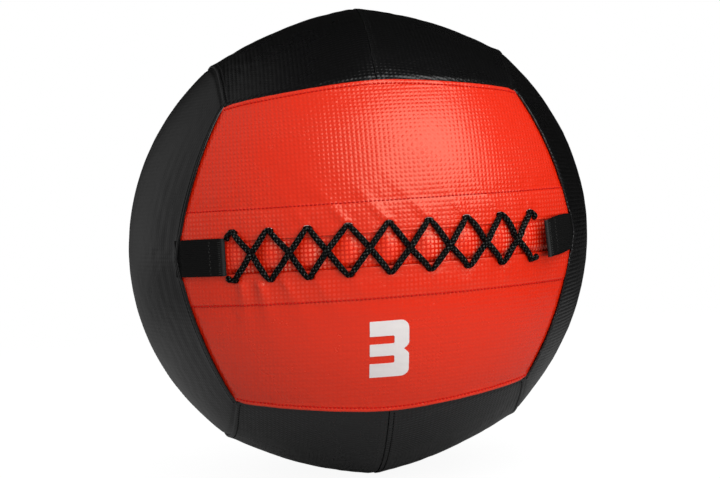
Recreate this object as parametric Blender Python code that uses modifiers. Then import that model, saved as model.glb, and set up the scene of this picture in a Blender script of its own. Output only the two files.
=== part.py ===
# Wall ball: twelve sewn vinyl panels over a foam liner, fibre fill and a sand bag, with a laced
# closure across the front. The ball stands on z = 0 with its front towards -Y.
from math import acos, asin, atan2, cos, hypot, pi, radians, sin

import bmesh
import bpy
from mathutils import Matrix, Vector

# Ball
BALL_DIAMETER = 0.350
SEAM_RISE = 0.0015          # how far the seams stand above the mean surface
PANEL_DIP = 0.0036          # how far a panel's middle lies below the seams
OVAL_SHARE = 0.0134         # the fill pulls the ball this much longer along one diagonal
OVAL_ANGLE = radians(47.0)  # that diagonal, from +X towards +Z
FLAT_DEPTH = 0.0020         # how far the ball's weight flattens it on the floor

# Panel outlines, as angles seen from the ball's centre
SEAM_REACH = radians(51.0)  # from a face's middle to the end of its own middle seam
LONG_EDGE_BOW = {"x": radians(-0.8), "y": radians(1.8), "z": radians(2.6)}

# Panel shells
SHELL_THICKNESS = 0.0016
SEAM_GAP = 0.0008
EDGE_ROLL = 0.0010
EDGE_ROLL_WIDTH = 0.0022
LAP_RISE = 0.0007           # a panel's long edge is sewn over its neighbours' short edges
LAP_WIDTH = 0.0070
FIT_GAP = 0.0003
CUT_OVERRUN = 0.0100

# Laced closure, measured along the surface from the ball's front point
UPPER_FLAP_EDGE = 0.0100
LOWER_FLAP_EDGE = 0.0120
HEM_WIDTH = 0.0210
HOLE_COUNT = 9
LACE_END_MARGIN = 0.0482    # from the last holes to the side seams
HOLE_ROW = 0.0159
HOLE_CLEARANCE = 0.0004
CORD_DIAMETER = 0.0038
BIGHT_HALF_WIDTH = 0.0027
CROSSING_GAP = 0.0005
CORD_TUCK = 0.0110          # how far past the last holes the cord goes below the tabs
# Along a crossing, and how much of the way up or down to the other strand the cord has gone
STRAND_SHARES = ((0.10, 0), (0.31, 0.3), (0.50, 1), (0.69, 0.3), (0.90, 0))

TONGUE_THICKNESS = 0.0012
TONGUE_GAP = 0.0009
TONGUE_END_MARGIN = 0.0088
TONGUE_RIDGE = 0.0088       # half width of the strip that shows between the flaps
TONGUE_RAMP = 0.0042
TONGUE_SEW_MARGIN = 0.0040

# Webbing tabs
TAB_WIDTH = 0.0250
TAB_LENGTH = 0.0344
TAB_ROOT_SETBACK = 0.0050
WEBBING_THICKNESS = 0.0015
WEBBING_FOLD_GAP = 0.0010
RIGHT_TAB_LIFT = radians(12.0)

# Weight numeral, a printed film
NUMERAL_WIDTH = 0.0262
NUMERAL_HEIGHT = 0.0410
NUMERAL_BAR = 0.0105
NUMERAL_MIDDLE_BAR = 0.0087
NUMERAL_STROKE = 0.0098
NUMERAL_OFFSET = 0.0015
NUMERAL_DROP = 0.0692
NUMERAL_NOTCH = 0.0030
FILM_THICKNESS = 0.0003

# Inside
LINER_THICKNESS = 0.0080
LINER_GAP = 0.0012
FILL_GAP = 0.0006
SAND_BAG_RADIUS = 0.0520
SAND_BAG_WALL = 0.0012
SAND_BAG_MOUTH = radians(12.0)

SHARP_FROM = radians(35.0)

# Mesh density
PANEL_COLUMNS = 12
PANEL_ROWS = 6
FRONT_COLUMNS = 18
FRONT_ROWS = 7
TAB_STEPS = 8
BIGHT_STEPS = 4
LINER_MERIDIANS = 32
LINER_RINGS = 16
CORE_MERIDIANS = 20
CORE_RINGS = 10

RADIUS = BALL_DIAMETER / 2
SEAM_RADIUS = RADIUS + SEAM_RISE
FACE_HALF_HEIGHT = pi / 2 - SEAM_REACH
FRONT_REACH = RADIUS * SEAM_REACH
HOLE_PITCH = 2 * (FRONT_REACH - LACE_END_MARGIN) / (HOLE_COUNT - 1)
TONGUE_HALF_LENGTH = FRONT_REACH - TONGUE_END_MARGIN
AXES = {"x": Vector((1, 0, 0)), "y": Vector((0, 1, 0)), "z": Vector((0, 0, 1))}
LONG_AXIS = Vector((cos(OVAL_ANGLE), 0, sin(OVAL_ANGLE)))
SHORT_AXIS = Vector((-sin(OVAL_ANGLE), 0, cos(OVAL_ANGLE)))
OVAL = Matrix.Scale(1 + OVAL_SHARE, 4, LONG_AXIS) @ Matrix.Scale(1 - OVAL_SHARE, 4, SHORT_AXIS)
LOWEST_SEAM = SEAM_RADIUS * hypot((1 + OVAL_SHARE) * LONG_AXIS.z, (1 - OVAL_SHARE) * SHORT_AXIS.z)
CENTRE_HEIGHT = LOWEST_SEAM - FLAT_DEPTH
SET_DOWN = Matrix.Translation((0, 0, CENTRE_HEIGHT)) @ OVAL

# The cord's middle and the tongue at each stage of their way, from the flaps' outer surface
CORD_ON_FLAP = FIT_GAP + CORD_DIAMETER / 2
CORD_BELOW_FLAP = -SHELL_THICKNESS - FIT_GAP - CORD_DIAMETER / 2
TONGUE_TOP = -SHELL_THICKNESS - TONGUE_GAP
TONGUE_FLOOR = CORD_BELOW_FLAP - CORD_DIAMETER / 2 - FIT_GAP
CORD_UNDER_CROSSING = TONGUE_TOP + FIT_GAP + CORD_DIAMETER / 2
CORD_OVER_CROSSING = CORD_UNDER_CROSSING + CORD_DIAMETER + CROSSING_GAP

COLOURS = {
    "red_vinyl": ((0.66, 0.035, 0.018), 0.38),
    "black_vinyl": ((0.012, 0.012, 0.013), 0.42),
    "cord": ((0.006, 0.006, 0.007), 0.75),
    "webbing": ((0.010, 0.010, 0.011), 0.80),
    "print": ((0.76, 0.73, 0.72), 0.50),
    "foam": ((0.30, 0.30, 0.31), 0.90),
    "fibre": ((0.55, 0.53, 0.48), 0.95),
    "canvas": ((0.42, 0.37, 0.26), 0.90),
    "sand": ((0.47, 0.36, 0.22), 0.95),
}


def clear_scene():
    for obj in list(bpy.data.objects):
        bpy.data.objects.remove(obj, do_unlink=True)


def new_collection(name, hidden=False):
    collection = bpy.data.collections.new(name)
    collection.hide_render = hidden
    bpy.context.scene.collection.children.link(collection)
    return collection


def new_material(name, finish):
    colour, roughness = COLOURS[finish]
    material = bpy.data.materials.new(name)
    material.use_nodes = True
    shader = material.node_tree.nodes["Principled BSDF"]
    shader.inputs["Base Color"].default_value = (*colour, 1)
    shader.inputs["Roughness"].default_value = roughness
    shader.inputs["Metallic"].default_value = 0
    return material


def new_object(name, mesh, finish, collection, origin=None):
    if origin is not None:
        mesh.transform(Matrix.Translation(-origin))
    obj = bpy.data.objects.new(name, mesh)
    if origin is not None:
        obj.location = origin
    mesh.materials.append(new_material(name + "_finish", finish))
    mesh.shade_smooth()
    mesh.set_sharp_from_angle(angle=SHARP_FROM)
    collection.objects.link(obj)
    return obj


def finish_bmesh(bm, name, matrix=SET_DOWN):
    bmesh.ops.transform(bm, matrix=matrix, verts=bm.verts)
    bmesh.ops.recalc_face_normals(bm, faces=bm.faces)
    mesh = bpy.data.meshes.new(name)
    bm.to_mesh(mesh)
    bm.free()
    return mesh


def solidify(obj, thickness, offset):
    modifier = obj.modifiers.new("Thickness", "SOLIDIFY")
    modifier.thickness = thickness
    modifier.offset = offset
    modifier.use_even_offset = True


def subtract(obj, cutter):
    modifier = obj.modifiers.new("Cut " + cutter.name, "BOOLEAN")
    modifier.operation = "DIFFERENCE"
    modifier.object = cutter


def new_cutter(name, mesh, collection):
    obj = bpy.data.objects.new(name, mesh)
    obj.hide_render = True
    obj.display_type = "WIRE"
    collection.objects.link(obj)
    return obj


# Where the seams run: every seam is a bowed arc from a cube corner to the end of a middle seam
def arc_point(start, end, share, bow, towards):
    angle = acos(max(-1, min(1, start.dot(end))))
    point = (sin((1 - share) * angle) * start + sin(share * angle) * end) / sin(angle)
    side = start.cross(end).normalized()
    if side.dot(towards) < 0:
        side = -side
    push = bow * sin(pi * share)
    return cos(push) * point + sin(push) * side


class Face:
    """One panel's frame: the face's axis, the way its middle seam runs, and the panel's side."""

    def __init__(self, face, face_sign, seam, side, side_sign):
        self.face_name = face
        self.axis = AXES[face] * face_sign
        self.seam_name = seam
        self.seam = AXES[seam]
        self.side = AXES[side] * side_sign

    def direction(self, lon, lat):
        return (cos(lat) * cos(lon) * self.axis + cos(lat) * sin(lon) * self.seam
                + sin(lat) * self.side)

    def angles(self, direction):
        lon = atan2(direction.dot(self.seam), direction.dot(self.axis))
        return Vector((lon, asin(max(-1, min(1, direction.dot(self.side))))))

    def corner(self, sign):
        return (self.axis + sign * self.seam + self.side).normalized()

    def long_edge(self, share, sign):
        middle = self.direction(0, FACE_HALF_HEIGHT)
        bow = LONG_EDGE_BOW[self.face_name]
        return self.angles(arc_point(middle, self.corner(sign), share, bow, self.axis))

    def short_edge(self, share, sign):
        end = self.direction(sign * SEAM_REACH, 0)
        bow = LONG_EDGE_BOW[self.seam_name]
        return self.angles(arc_point(end, self.corner(sign), share, bow, sign * self.seam))

    def spot(self, along, up):
        """Angles of the point at share along (-1 to 1) and share up (0 to 1) of the panel."""
        sign = 1 if along >= 0 else -1
        u = abs(along)
        low = Vector((sign * u * SEAM_REACH, 0))
        middle = Vector((0, up * FACE_HALF_HEIGHT))
        low_end = Vector((sign * SEAM_REACH, 0))
        middle_end = Vector((0, FACE_HALF_HEIGHT))
        corner = self.angles(self.corner(sign))
        edges = (1 - up) * low + up * self.long_edge(u, sign)
        edges += (1 - u) * middle + u * self.short_edge(up, sign)
        corners = u * (1 - up) * low_end + (1 - u) * up * middle_end + u * up * corner
        return edges - corners


FRONT_UP = Face("y", -1, "x", "z", 1)
FRONT_DOWN = Face("y", -1, "x", "z", -1)


def panel_radius(u, up):
    return SEAM_RADIUS - PANEL_DIP * 4 * up * (1 - up) * (1 - u ** 4)


def front_radius(lon, lat):
    along = min(1, abs(lon) / SEAM_REACH)
    up = min(1, abs(lat) / FACE_HALF_HEIGHT)
    return SEAM_RADIUS - PANEL_DIP * (1 - up ** 2) * (1 - along ** 4)


def on_front(x, y, lift):
    """The point x along the lacing and y above it, both measured on the surface, lifted off it."""
    lat = y / RADIUS
    lon = x / (RADIUS * cos(lat))
    return FRONT_UP.direction(lon, lat) * (front_radius(lon, lat) + lift)


def knots(count, first_edge, last_edge, length):
    """Shares along a side: the edge, the end of its rolled rim, even steps, and the same back."""
    start = first_edge / length
    stop = 1 - last_edge / length
    rim = EDGE_ROLL_WIDTH / length
    inner = [start + rim + (stop - start - 2 * rim) * i / (count - 2) for i in range(count - 1)]
    return [start] + inner + [stop]


def panel_point(face, column, row, columns, rows, inner_edge, front):
    # The rows' places come first, and then the column's place along that row
    up = knots(rows, inner_edge, SEAM_GAP / 2, RADIUS * FACE_HALF_HEIGHT)[row]
    middle = face.direction(0, up * FACE_HALF_HEIGHT)
    end = face.direction(*face.spot(1, up))
    reach = RADIUS * acos(middle.dot(end))
    half = columns // 2
    edge = SEAM_GAP / 2 / reach
    rim = EDGE_ROLL_WIDTH / reach
    offset = abs(column - half)
    u = 1 - edge if offset == half else (1 - edge - rim) * offset / (half - 1)
    lon, lat = face.spot(u if column >= half else -u, up)
    radius = front_radius(lon, lat) if front else panel_radius(u, up)
    from_long_edge = (1 - up) * RADIUS * FACE_HALF_HEIGHT
    radius += LAP_RISE * max(0, 1 - from_long_edge / LAP_WIDTH)
    if offset == half or row in (0, rows):
        radius -= EDGE_ROLL
    return face.direction(lon, lat) * radius


def press_flat(bm):
    """Sets the ball down, and flattens what its weight would press below the floor."""
    bmesh.ops.transform(bm, matrix=SET_DOWN, verts=bm.verts)
    geometry = bm.verts[:] + bm.edges[:] + bm.faces[:]
    bmesh.ops.bisect_plane(bm, geom=geometry, plane_co=(0, 0, 0), plane_no=(0, 0, 1))
    for vert in bm.verts:
        vert.co.z = max(vert.co.z, 0)


def panel_mesh(name, face, columns, rows, inner_edge, front=False):
    bm = bmesh.new()
    bmesh.ops.create_grid(bm, x_segments=columns, y_segments=rows, size=1)
    for vert in bm.verts:
        column = round((vert.co.x + 1) / 2 * columns)
        row = round((vert.co.y + 1) / 2 * rows)
        vert.co = panel_point(face, column, row, columns, rows, inner_edge, front)
    press_flat(bm)
    mesh = finish_bmesh(bm, name, Matrix.Identity(4))
    outward = (SET_DOWN @ face.direction(0, FACE_HALF_HEIGHT / 2)) - SET_DOWN.translation
    if mesh.polygons[len(mesh.polygons) // 2].normal.dot(outward) < 0:
        mesh.flip_normals()
    return mesh


def build_black_panels(collection):
    layout = {
        "top_left_panel": Face("z", 1, "y", "x", -1),
        "top_right_panel": Face("z", 1, "y", "x", 1),
        "bottom_left_panel": Face("z", -1, "y", "x", -1),
        "bottom_right_panel": Face("z", -1, "y", "x", 1),
        "left_front_panel": Face("x", -1, "z", "y", -1),
        "left_back_panel": Face("x", -1, "z", "y", 1),
        "right_front_panel": Face("x", 1, "z", "y", -1),
        "right_back_panel": Face("x", 1, "z", "y", 1),
        "back_upper_panel": Face("y", 1, "x", "z", 1),
        "back_lower_panel": Face("y", 1, "x", "z", -1),
    }
    for name, face in layout.items():
        mesh = panel_mesh(name, face, PANEL_COLUMNS, PANEL_ROWS, SEAM_GAP / 2)
        panel = new_object(name, mesh, "black_vinyl", collection)
        solidify(panel, SHELL_THICKNESS, -1)


def hole_places(sign):
    half = (HOLE_COUNT - 1) / 2
    return [((i - half) * HOLE_PITCH, sign * HOLE_ROW) for i in range(HOLE_COUNT)]


def hole_cutter(name, sign, collection):
    size = Vector((
        2 * BIGHT_HALF_WIDTH + CORD_DIAMETER + 2 * HOLE_CLEARANCE,
        CORD_DIAMETER + 2 * HOLE_CLEARANCE,
        2 * CUT_OVERRUN,
    ))
    bm = bmesh.new()
    for x, y in hole_places(sign):
        normal = on_front(x, y, 0).normalized()
        turn = normal.to_track_quat("Z", "Y").to_matrix().to_4x4()
        place = Matrix.Translation(on_front(x, y, 0)) @ turn
        cube = bmesh.ops.create_cube(bm, size=1)
        bmesh.ops.scale(bm, vec=size, verts=cube["verts"])
        bmesh.ops.transform(bm, matrix=place, verts=cube["verts"])
    return new_cutter(name, finish_bmesh(bm, name), collection)


def build_front_panels(collection, cutters):
    sides = (
        ("front_upper_panel", FRONT_UP, UPPER_FLAP_EDGE, 1),
        ("front_lower_panel", FRONT_DOWN, LOWER_FLAP_EDGE, -1),
    )
    for name, face, flap_edge, sign in sides:
        mesh = panel_mesh(name, face, FRONT_COLUMNS, FRONT_ROWS, flap_edge, front=True)
        panel = new_object(name, mesh, "red_vinyl", collection)
        solidify(panel, SHELL_THICKNESS, -1)
        subtract(panel, hole_cutter(name + "_holes", sign, cutters))


def bight(x, y, heading):
    """The cord dives into a hole, turns below the hem and comes up again, moving along x."""
    leg_top = CORD_ON_FLAP - HOLE_CLEARANCE
    points = [(x - heading * BIGHT_HALF_WIDTH, y, leg_top)]
    for step in range(BIGHT_STEPS + 1):
        turn = pi * step / BIGHT_STEPS
        along = -heading * cos(turn) * BIGHT_HALF_WIDTH
        points.append((x + along, y, CORD_BELOW_FLAP + BIGHT_HALF_WIDTH * (1 - sin(turn))))
    points.append((x + heading * BIGHT_HALF_WIDTH, y, leg_top))
    return points


def strand(start, end, over):
    """The cord's crossing from one hole to the next: up from the hole, over or under, and back."""
    middle = CORD_OVER_CROSSING if over else CORD_UNDER_CROSSING
    points = []
    for share, level_share in STRAND_SHARES:
        x = start[0] + (end[0] - start[0]) * share
        y = start[1] + (end[1] - start[1]) * share
        points.append((x, y, CORD_ON_FLAP + (middle - CORD_ON_FLAP) * level_share))
    return points


def tucked_end(x, y, sign_x, sign_y):
    """From a last hole over the flap's edge, down into the closure and on below the tab."""
    flap_edge = UPPER_FLAP_EDGE if sign_y > 0 else LOWER_FLAP_EDGE
    beside = x + sign_x * (BIGHT_HALF_WIDTH + CORD_DIAMETER / 8)
    clear_of_edge = flap_edge - CORD_DIAMETER / 2 - FIT_GAP
    below = clear_of_edge - CORD_DIAMETER / 2
    return [
        (beside, (y + sign_y * clear_of_edge) / 2, CORD_ON_FLAP),
        (beside, sign_y * clear_of_edge, CORD_ON_FLAP / 2),
        (beside + sign_x * CORD_DIAMETER / 4, sign_y * below, CORD_BELOW_FLAP + CORD_DIAMETER / 2),
        (beside + sign_x * CORD_DIAMETER, sign_y * below, CORD_BELOW_FLAP),
        (beside + sign_x * CORD_TUCK, sign_y * below, CORD_BELOW_FLAP),
    ]


def build_lace(collection):
    upper = hole_places(1)
    lower = hole_places(-1)
    last = HOLE_COUNT - 1
    leftward = [upper[i] if i % 2 == 0 else lower[i] for i in range(last, -1, -1)]
    rightward = [lower[i] if i % 2 == 0 else upper[i] for i in range(HOLE_COUNT)]
    route = tucked_end(*upper[last], 1, 1)[::-1]
    for i, hole in enumerate(leftward):
        route += bight(*hole, -1)
        if i < last:
            route += strand(hole, leftward[i + 1], over=i % 2 == 0)
    route += tucked_end(*upper[0], -1, 1)
    route += tucked_end(*lower[0], -1, -1)[::-1]
    for i, hole in enumerate(rightward):
        route += bight(*hole, 1)
        if i < last:
            route += strand(hole, rightward[i + 1], over=i % 2 == 0)
    route += tucked_end(*lower[last], 1, -1)
    curve = bpy.data.curves.new("lace", "CURVE")
    curve.dimensions = "3D"
    curve.bevel_depth = CORD_DIAMETER / 2
    curve.bevel_resolution = 2
    curve.use_fill_caps = True
    spline = curve.splines.new("POLY")
    spline.points.add(len(route) - 1)
    for point, place in zip(spline.points, route):
        point.co = (*(SET_DOWN @ on_front(*place)), 1)
    curve.materials.append(new_material("lace_finish", "cord"))
    collection.objects.link(bpy.data.objects.new("lace", curve))


def tongue_lift(y, flap_edge):
    """The tongue shows level between the flaps, sinks below the cord and is sewn to the hem."""
    sewn_from = flap_edge + HEM_WIDTH - TONGUE_SEW_MARGIN
    y = abs(y)
    if y <= TONGUE_RIDGE:
        return TONGUE_TOP
    if y < TONGUE_RIDGE + TONGUE_RAMP:
        return TONGUE_TOP + (TONGUE_FLOOR - TONGUE_TOP) * (y - TONGUE_RIDGE) / TONGUE_RAMP
    if y < sewn_from - TONGUE_RAMP:
        return TONGUE_FLOOR
    if y < sewn_from:
        return TONGUE_TOP + (TONGUE_FLOOR - TONGUE_TOP) * (sewn_from - y) / TONGUE_RAMP
    return TONGUE_TOP


def build_tongue(collection):
    rows = []
    for sign, flap_edge in ((-1, LOWER_FLAP_EDGE), (1, UPPER_FLAP_EDGE)):
        sewn_from = flap_edge + HEM_WIDTH - TONGUE_SEW_MARGIN
        stops = [
            TONGUE_RIDGE,
            TONGUE_RIDGE + TONGUE_RAMP,
            sewn_from - TONGUE_RAMP,
            sewn_from,
            sewn_from + TONGUE_SEW_MARGIN,
        ]
        rows += [(sign * stop, flap_edge) for stop in stops]
    rows.append((0, UPPER_FLAP_EDGE))
    rows.sort()
    tuck_from = hole_places(1)[-1][0] - HOLE_PITCH / 2
    bm = bmesh.new()
    bmesh.ops.create_grid(bm, x_segments=FRONT_COLUMNS, y_segments=len(rows) - 1, size=1)
    for vert in bm.verts:
        x = vert.co.x * TONGUE_HALF_LENGTH
        y, flap_edge = rows[round((vert.co.y + 1) / 2 * (len(rows) - 1))]
        lift = tongue_lift(y, flap_edge)
        if abs(x) > tuck_from and abs(y) < TONGUE_RIDGE + TONGUE_RAMP:
            lift = TONGUE_FLOOR
        vert.co = on_front(x, y, lift)
    mesh = finish_bmesh(bm, "lace_tongue")
    if mesh.polygons[0].normal.y > 0:
        mesh.flip_normals()
    tongue = new_object("lace_tongue", mesh, "red_vinyl", collection)
    solidify(tongue, TONGUE_THICKNESS, -1)


def tab_hinge(sign):
    x = sign * (FRONT_REACH - TAB_ROOT_SETBACK)
    lift = FIT_GAP + WEBBING_THICKNESS + WEBBING_FOLD_GAP / 2
    return SET_DOWN @ on_front(x, 0, lift)


def build_tab(name, sign, raised, collection):
    root = FRONT_REACH - TAB_ROOT_SETBACK
    tip = root - TAB_LENGTH
    low = FIT_GAP + WEBBING_THICKNESS / 2
    fold_radius = (WEBBING_THICKNESS + WEBBING_FOLD_GAP) / 2
    path = []
    for i in range(TAB_STEPS + 1):
        path.append((root + (tip - root) * i / TAB_STEPS, low))
    for i in range(1, TAB_STEPS):
        turn = pi * i / TAB_STEPS
        path.append((tip - fold_radius * sin(turn), low + fold_radius * (1 - cos(turn))))
    for i in range(TAB_STEPS + 1):
        path.append((tip + (root - tip) * i / TAB_STEPS, low + 2 * fold_radius))
    bm = bmesh.new()
    bmesh.ops.create_grid(bm, x_segments=len(path) - 1, y_segments=1, size=1)
    for vert in bm.verts:
        x, lift = path[round((vert.co.x + 1) / 2 * (len(path) - 1))]
        place = on_front(sign * x, 0, lift)
        vert.co = Vector((place.x, place.y, vert.co.y * TAB_WIDTH / 2))
    hinge = tab_hinge(sign)
    mesh = finish_bmesh(bm, name)
    tab = new_object(name, mesh, "webbing", collection, hinge)
    tab.rotation_euler.z = sign * raised
    solidify(tab, WEBBING_THICKNESS, 0)


def build_numeral(collection):
    slot = (NUMERAL_HEIGHT - 2 * NUMERAL_BAR - NUMERAL_MIDDLE_BAR) / 2
    heights = [0, NUMERAL_BAR, slot, NUMERAL_MIDDLE_BAR, slot, NUMERAL_BAR]
    rows = [sum(heights[:i + 1]) for i in range(len(heights))]
    stroke_from = NUMERAL_WIDTH - NUMERAL_STROKE
    columns = [0, stroke_from / 2, stroke_from, (stroke_from + NUMERAL_WIDTH) / 2, NUMERAL_WIDTH]
    bm = bmesh.new()
    bmesh.ops.create_grid(bm, x_segments=len(columns) - 1, y_segments=len(rows) - 1, size=1)
    emptied = []
    for f in bm.faces:
        middle = f.calc_center_median()
        row = int((middle.y + 1) / 2 * (len(rows) - 1))
        column = int((middle.x + 1) / 2 * (len(columns) - 1))
        if row % 2 == 1 and columns[column] < stroke_from:
            emptied.append(f)
    bmesh.ops.delete(bm, geom=emptied, context="FACES")
    for vert in bm.verts:
        column = round((vert.co.x + 1) / 2 * (len(columns) - 1))
        row = round((vert.co.y + 1) / 2 * (len(rows) - 1))
        vert.co = Vector((columns[column] - NUMERAL_WIDTH / 2, rows[row] - NUMERAL_HEIGHT / 2, 0))
    bmesh.ops.subdivide_edges(bm, edges=bm.edges, cuts=1, use_grid_fill=True)
    corners = [v for v in bm.verts if v.co.x > NUMERAL_WIDTH / 2 - FIT_GAP
               and abs(v.co.y) > NUMERAL_HEIGHT / 2 - FIT_GAP]
    for vert in corners:
        vert.co.x -= NUMERAL_NOTCH
        vert.co.y -= NUMERAL_NOTCH if vert.co.y > 0 else -NUMERAL_NOTCH
    notch = min(bm.verts, key=lambda v: (NUMERAL_WIDTH / 2 - v.co.x) + abs(v.co.y))
    notch.co.x -= NUMERAL_NOTCH
    for vert in bm.verts:
        x = vert.co.x - NUMERAL_OFFSET
        y = vert.co.y - NUMERAL_DROP
        vert.co = on_front(x, y, FIT_GAP)
    mesh = finish_bmesh(bm, "weight_numeral")
    if mesh.polygons[0].normal.y > 0:
        mesh.flip_normals()
    numeral = new_object("weight_numeral", mesh, "print", collection)
    solidify(numeral, FILM_THICKNESS, 1)


def ball_bmesh(radius_at, meridians, rings):
    bm = bmesh.new()
    bmesh.ops.create_uvsphere(bm, u_segments=meridians, v_segments=rings, radius=1)
    for vert in bm.verts:
        direction = vert.co.normalized()
        vert.co = direction * radius_at(direction)
    return bm


def half_ball(name, finish, collection, radius_at, meridians, rings, upside, pocket):
    """The upper or lower half of a ball, a little clear of the other half, with a hollow in it."""
    bm = ball_bmesh(radius_at, meridians, rings)
    geometry = bm.verts[:] + bm.edges[:] + bm.faces[:]
    bmesh.ops.bisect_plane(bm, geom=geometry, plane_co=(0, 0, upside * FIT_GAP),
                           plane_no=(0, 0, upside), clear_inner=True)
    bmesh.ops.holes_fill(bm, edges=[e for e in bm.edges if e.is_boundary])
    half = new_object(name, finish_bmesh(bm, name), finish, collection)
    subtract(half, pocket)


def build_inside(collection, cutters):
    liner_radius = SEAM_RADIUS - PANEL_DIP - SHELL_THICKNESS - LINER_GAP
    recess_radius = SEAM_RADIUS - PANEL_DIP + TONGUE_FLOOR - TONGUE_THICKNESS - 2 * FIT_GAP
    ring = pi / LINER_RINGS
    hem_reach = (LOWER_FLAP_EDGE + HEM_WIDTH) / RADIUS

    def liner_outer(direction):
        lon, lat = FRONT_UP.angles(direction)
        recessed = abs(lat) < hem_reach + ring and abs(lon) < TONGUE_HALF_LENGTH / RADIUS + ring
        return recess_radius if recessed else liner_radius

    def hollow(name, radius):
        bm = ball_bmesh(lambda direction: radius, CORE_MERIDIANS, CORE_RINGS)
        return new_cutter(name, finish_bmesh(bm, name), cutters)

    core_radius = recess_radius - LINER_THICKNESS
    liner_hollow = hollow("liner_hollow", core_radius)
    bag_pocket = hollow("bag_pocket", SAND_BAG_RADIUS + FILL_GAP)
    for side, upside in (("upper", 1), ("lower", -1)):
        half_ball("liner_" + side, "foam", collection, liner_outer,
                  LINER_MERIDIANS, LINER_RINGS, upside, liner_hollow)
        half_ball("fill_" + side, "fibre", collection, lambda direction: core_radius - FILL_GAP,
                  CORE_MERIDIANS, CORE_RINGS, upside, bag_pocket)
    bm = ball_bmesh(lambda direction: SAND_BAG_RADIUS, CORE_MERIDIANS, CORE_RINGS)
    mouth = [v for v in bm.verts if v.co.z > SAND_BAG_RADIUS * cos(SAND_BAG_MOUTH)]
    bmesh.ops.delete(bm, geom=mouth, context="VERTS")
    sand_bag = new_object("sand_bag", finish_bmesh(bm, "sand_bag"), "canvas", collection)
    solidify(sand_bag, SAND_BAG_WALL, -1)
    sand_radius = SAND_BAG_RADIUS - SAND_BAG_WALL - FILL_GAP
    bm = ball_bmesh(lambda direction: sand_radius, CORE_MERIDIANS, CORE_RINGS)
    new_object("sand", finish_bmesh(bm, "sand"), "sand", collection)


def main():
    clear_scene()
    parts = new_collection("wall_ball")
    cutters = new_collection("cutters", hidden=True)
    build_black_panels(parts)
    build_front_panels(parts, cutters)
    build_tongue(parts)
    build_lace(parts)
    build_tab("left_tab", -1, 0, parts)
    build_tab("right_tab", 1, RIGHT_TAB_LIFT, parts)
    build_numeral(parts)
    build_inside(parts, cutters)
    for sign, name in ((-1, "left"), (1, "right")):
        print(name, "tab hinge", [round(v, 5) for v in tab_hinge(sign)])
    print("centre height", round(CENTRE_HEIGHT, 5))


main()
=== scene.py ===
from contextlib import contextmanager
from math import ceil, cos, hypot, pi, radians, sin, tan

import bpy
import numpy as np
from mathutils import Matrix, Vector, noise
from mathutils.bvhtree import BVHTree


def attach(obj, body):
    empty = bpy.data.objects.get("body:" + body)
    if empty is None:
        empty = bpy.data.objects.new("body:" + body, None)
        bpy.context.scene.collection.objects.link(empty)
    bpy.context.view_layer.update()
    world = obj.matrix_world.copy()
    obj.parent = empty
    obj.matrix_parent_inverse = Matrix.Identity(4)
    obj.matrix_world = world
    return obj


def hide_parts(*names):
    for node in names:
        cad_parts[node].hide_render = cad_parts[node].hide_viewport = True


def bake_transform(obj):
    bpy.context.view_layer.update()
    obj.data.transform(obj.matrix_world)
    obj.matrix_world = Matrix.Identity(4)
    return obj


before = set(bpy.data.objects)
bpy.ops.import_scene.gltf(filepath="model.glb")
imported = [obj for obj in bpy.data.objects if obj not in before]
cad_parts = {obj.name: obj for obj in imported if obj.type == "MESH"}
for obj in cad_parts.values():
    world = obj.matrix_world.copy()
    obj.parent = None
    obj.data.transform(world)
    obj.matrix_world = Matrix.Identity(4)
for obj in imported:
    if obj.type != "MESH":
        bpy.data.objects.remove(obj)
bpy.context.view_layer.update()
mm = 0.001
touching = 0.01 * mm                            # points this close to each other are one
print("loaded", len(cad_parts), "solids")


# Small helpers for working on one piece at a time

def selectOnly(*pieces):
    if bpy.context.object and bpy.context.object.mode != "OBJECT":
        bpy.ops.object.mode_set(mode="OBJECT")
    bpy.ops.object.select_all(action="DESELECT")
    for piece in pieces:
        piece.select_set(True)
        bpy.context.view_layer.objects.active = piece


@contextmanager
def editing(piece):
    # Edit mode with the whole mesh selected, as long as the with block runs
    selectOnly(piece)
    bpy.ops.object.mode_set(mode="EDIT")
    bpy.ops.mesh.select_all(action="SELECT")
    yield
    bpy.ops.object.mode_set(mode="OBJECT")


def useModifier(piece, kind, **settings):
    selectOnly(piece)
    modifier = piece.modifiers.new(kind.title(), kind)
    for key, value in settings.items():
        setattr(modifier, key, value)
    bpy.ops.object.modifier_apply(modifier=modifier.name)


def readPoints(piece):
    points = np.empty(len(piece.data.vertices) * 3)
    piece.data.vertices.foreach_get("co", points)
    return points.reshape(-1, 3)


def writePoints(piece, points):
    piece.data.vertices.foreach_set("co", np.ascontiguousarray(points, dtype=float).ravel())
    piece.data.update()


def writeUv(piece, u, v):
    mesh = piece.data
    corners = np.empty(len(mesh.loops), dtype=np.int32)
    mesh.loops.foreach_get("vertex_index", corners)
    layer = mesh.uv_layers.active or mesh.uv_layers.new()
    layer.data.foreach_set("uv", np.column_stack((u, v))[corners].astype(float).ravel())


def writeShare(piece, name, values):
    attribute = piece.data.attributes.new(name, "FLOAT", "POINT")
    attribute.data.foreach_set("value", values.astype(np.float32))


def addObject(name, data):
    piece = bpy.data.objects.new(name, data)
    bpy.context.scene.collection.objects.link(piece)
    return piece


def newGrid(name, columns, rows):
    # A flat grid, with the column and row of each of its points
    selectOnly()
    bpy.ops.mesh.primitive_grid_add(x_subdivisions=columns, y_subdivisions=rows, size=2)
    piece = bpy.context.object
    piece.name = piece.data.name = name
    at = readPoints(piece)
    column = np.rint((at[:, 0] + 1) / 2 * columns).astype(int)
    row = np.rint((at[:, 1] + 1) / 2 * rows).astype(int)
    return piece, column, row


def joinPieces(pieces, name):
    selectOnly(*pieces)
    bpy.ops.object.join()
    joined = bpy.context.object
    joined.name = joined.data.name = name
    return joined


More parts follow.
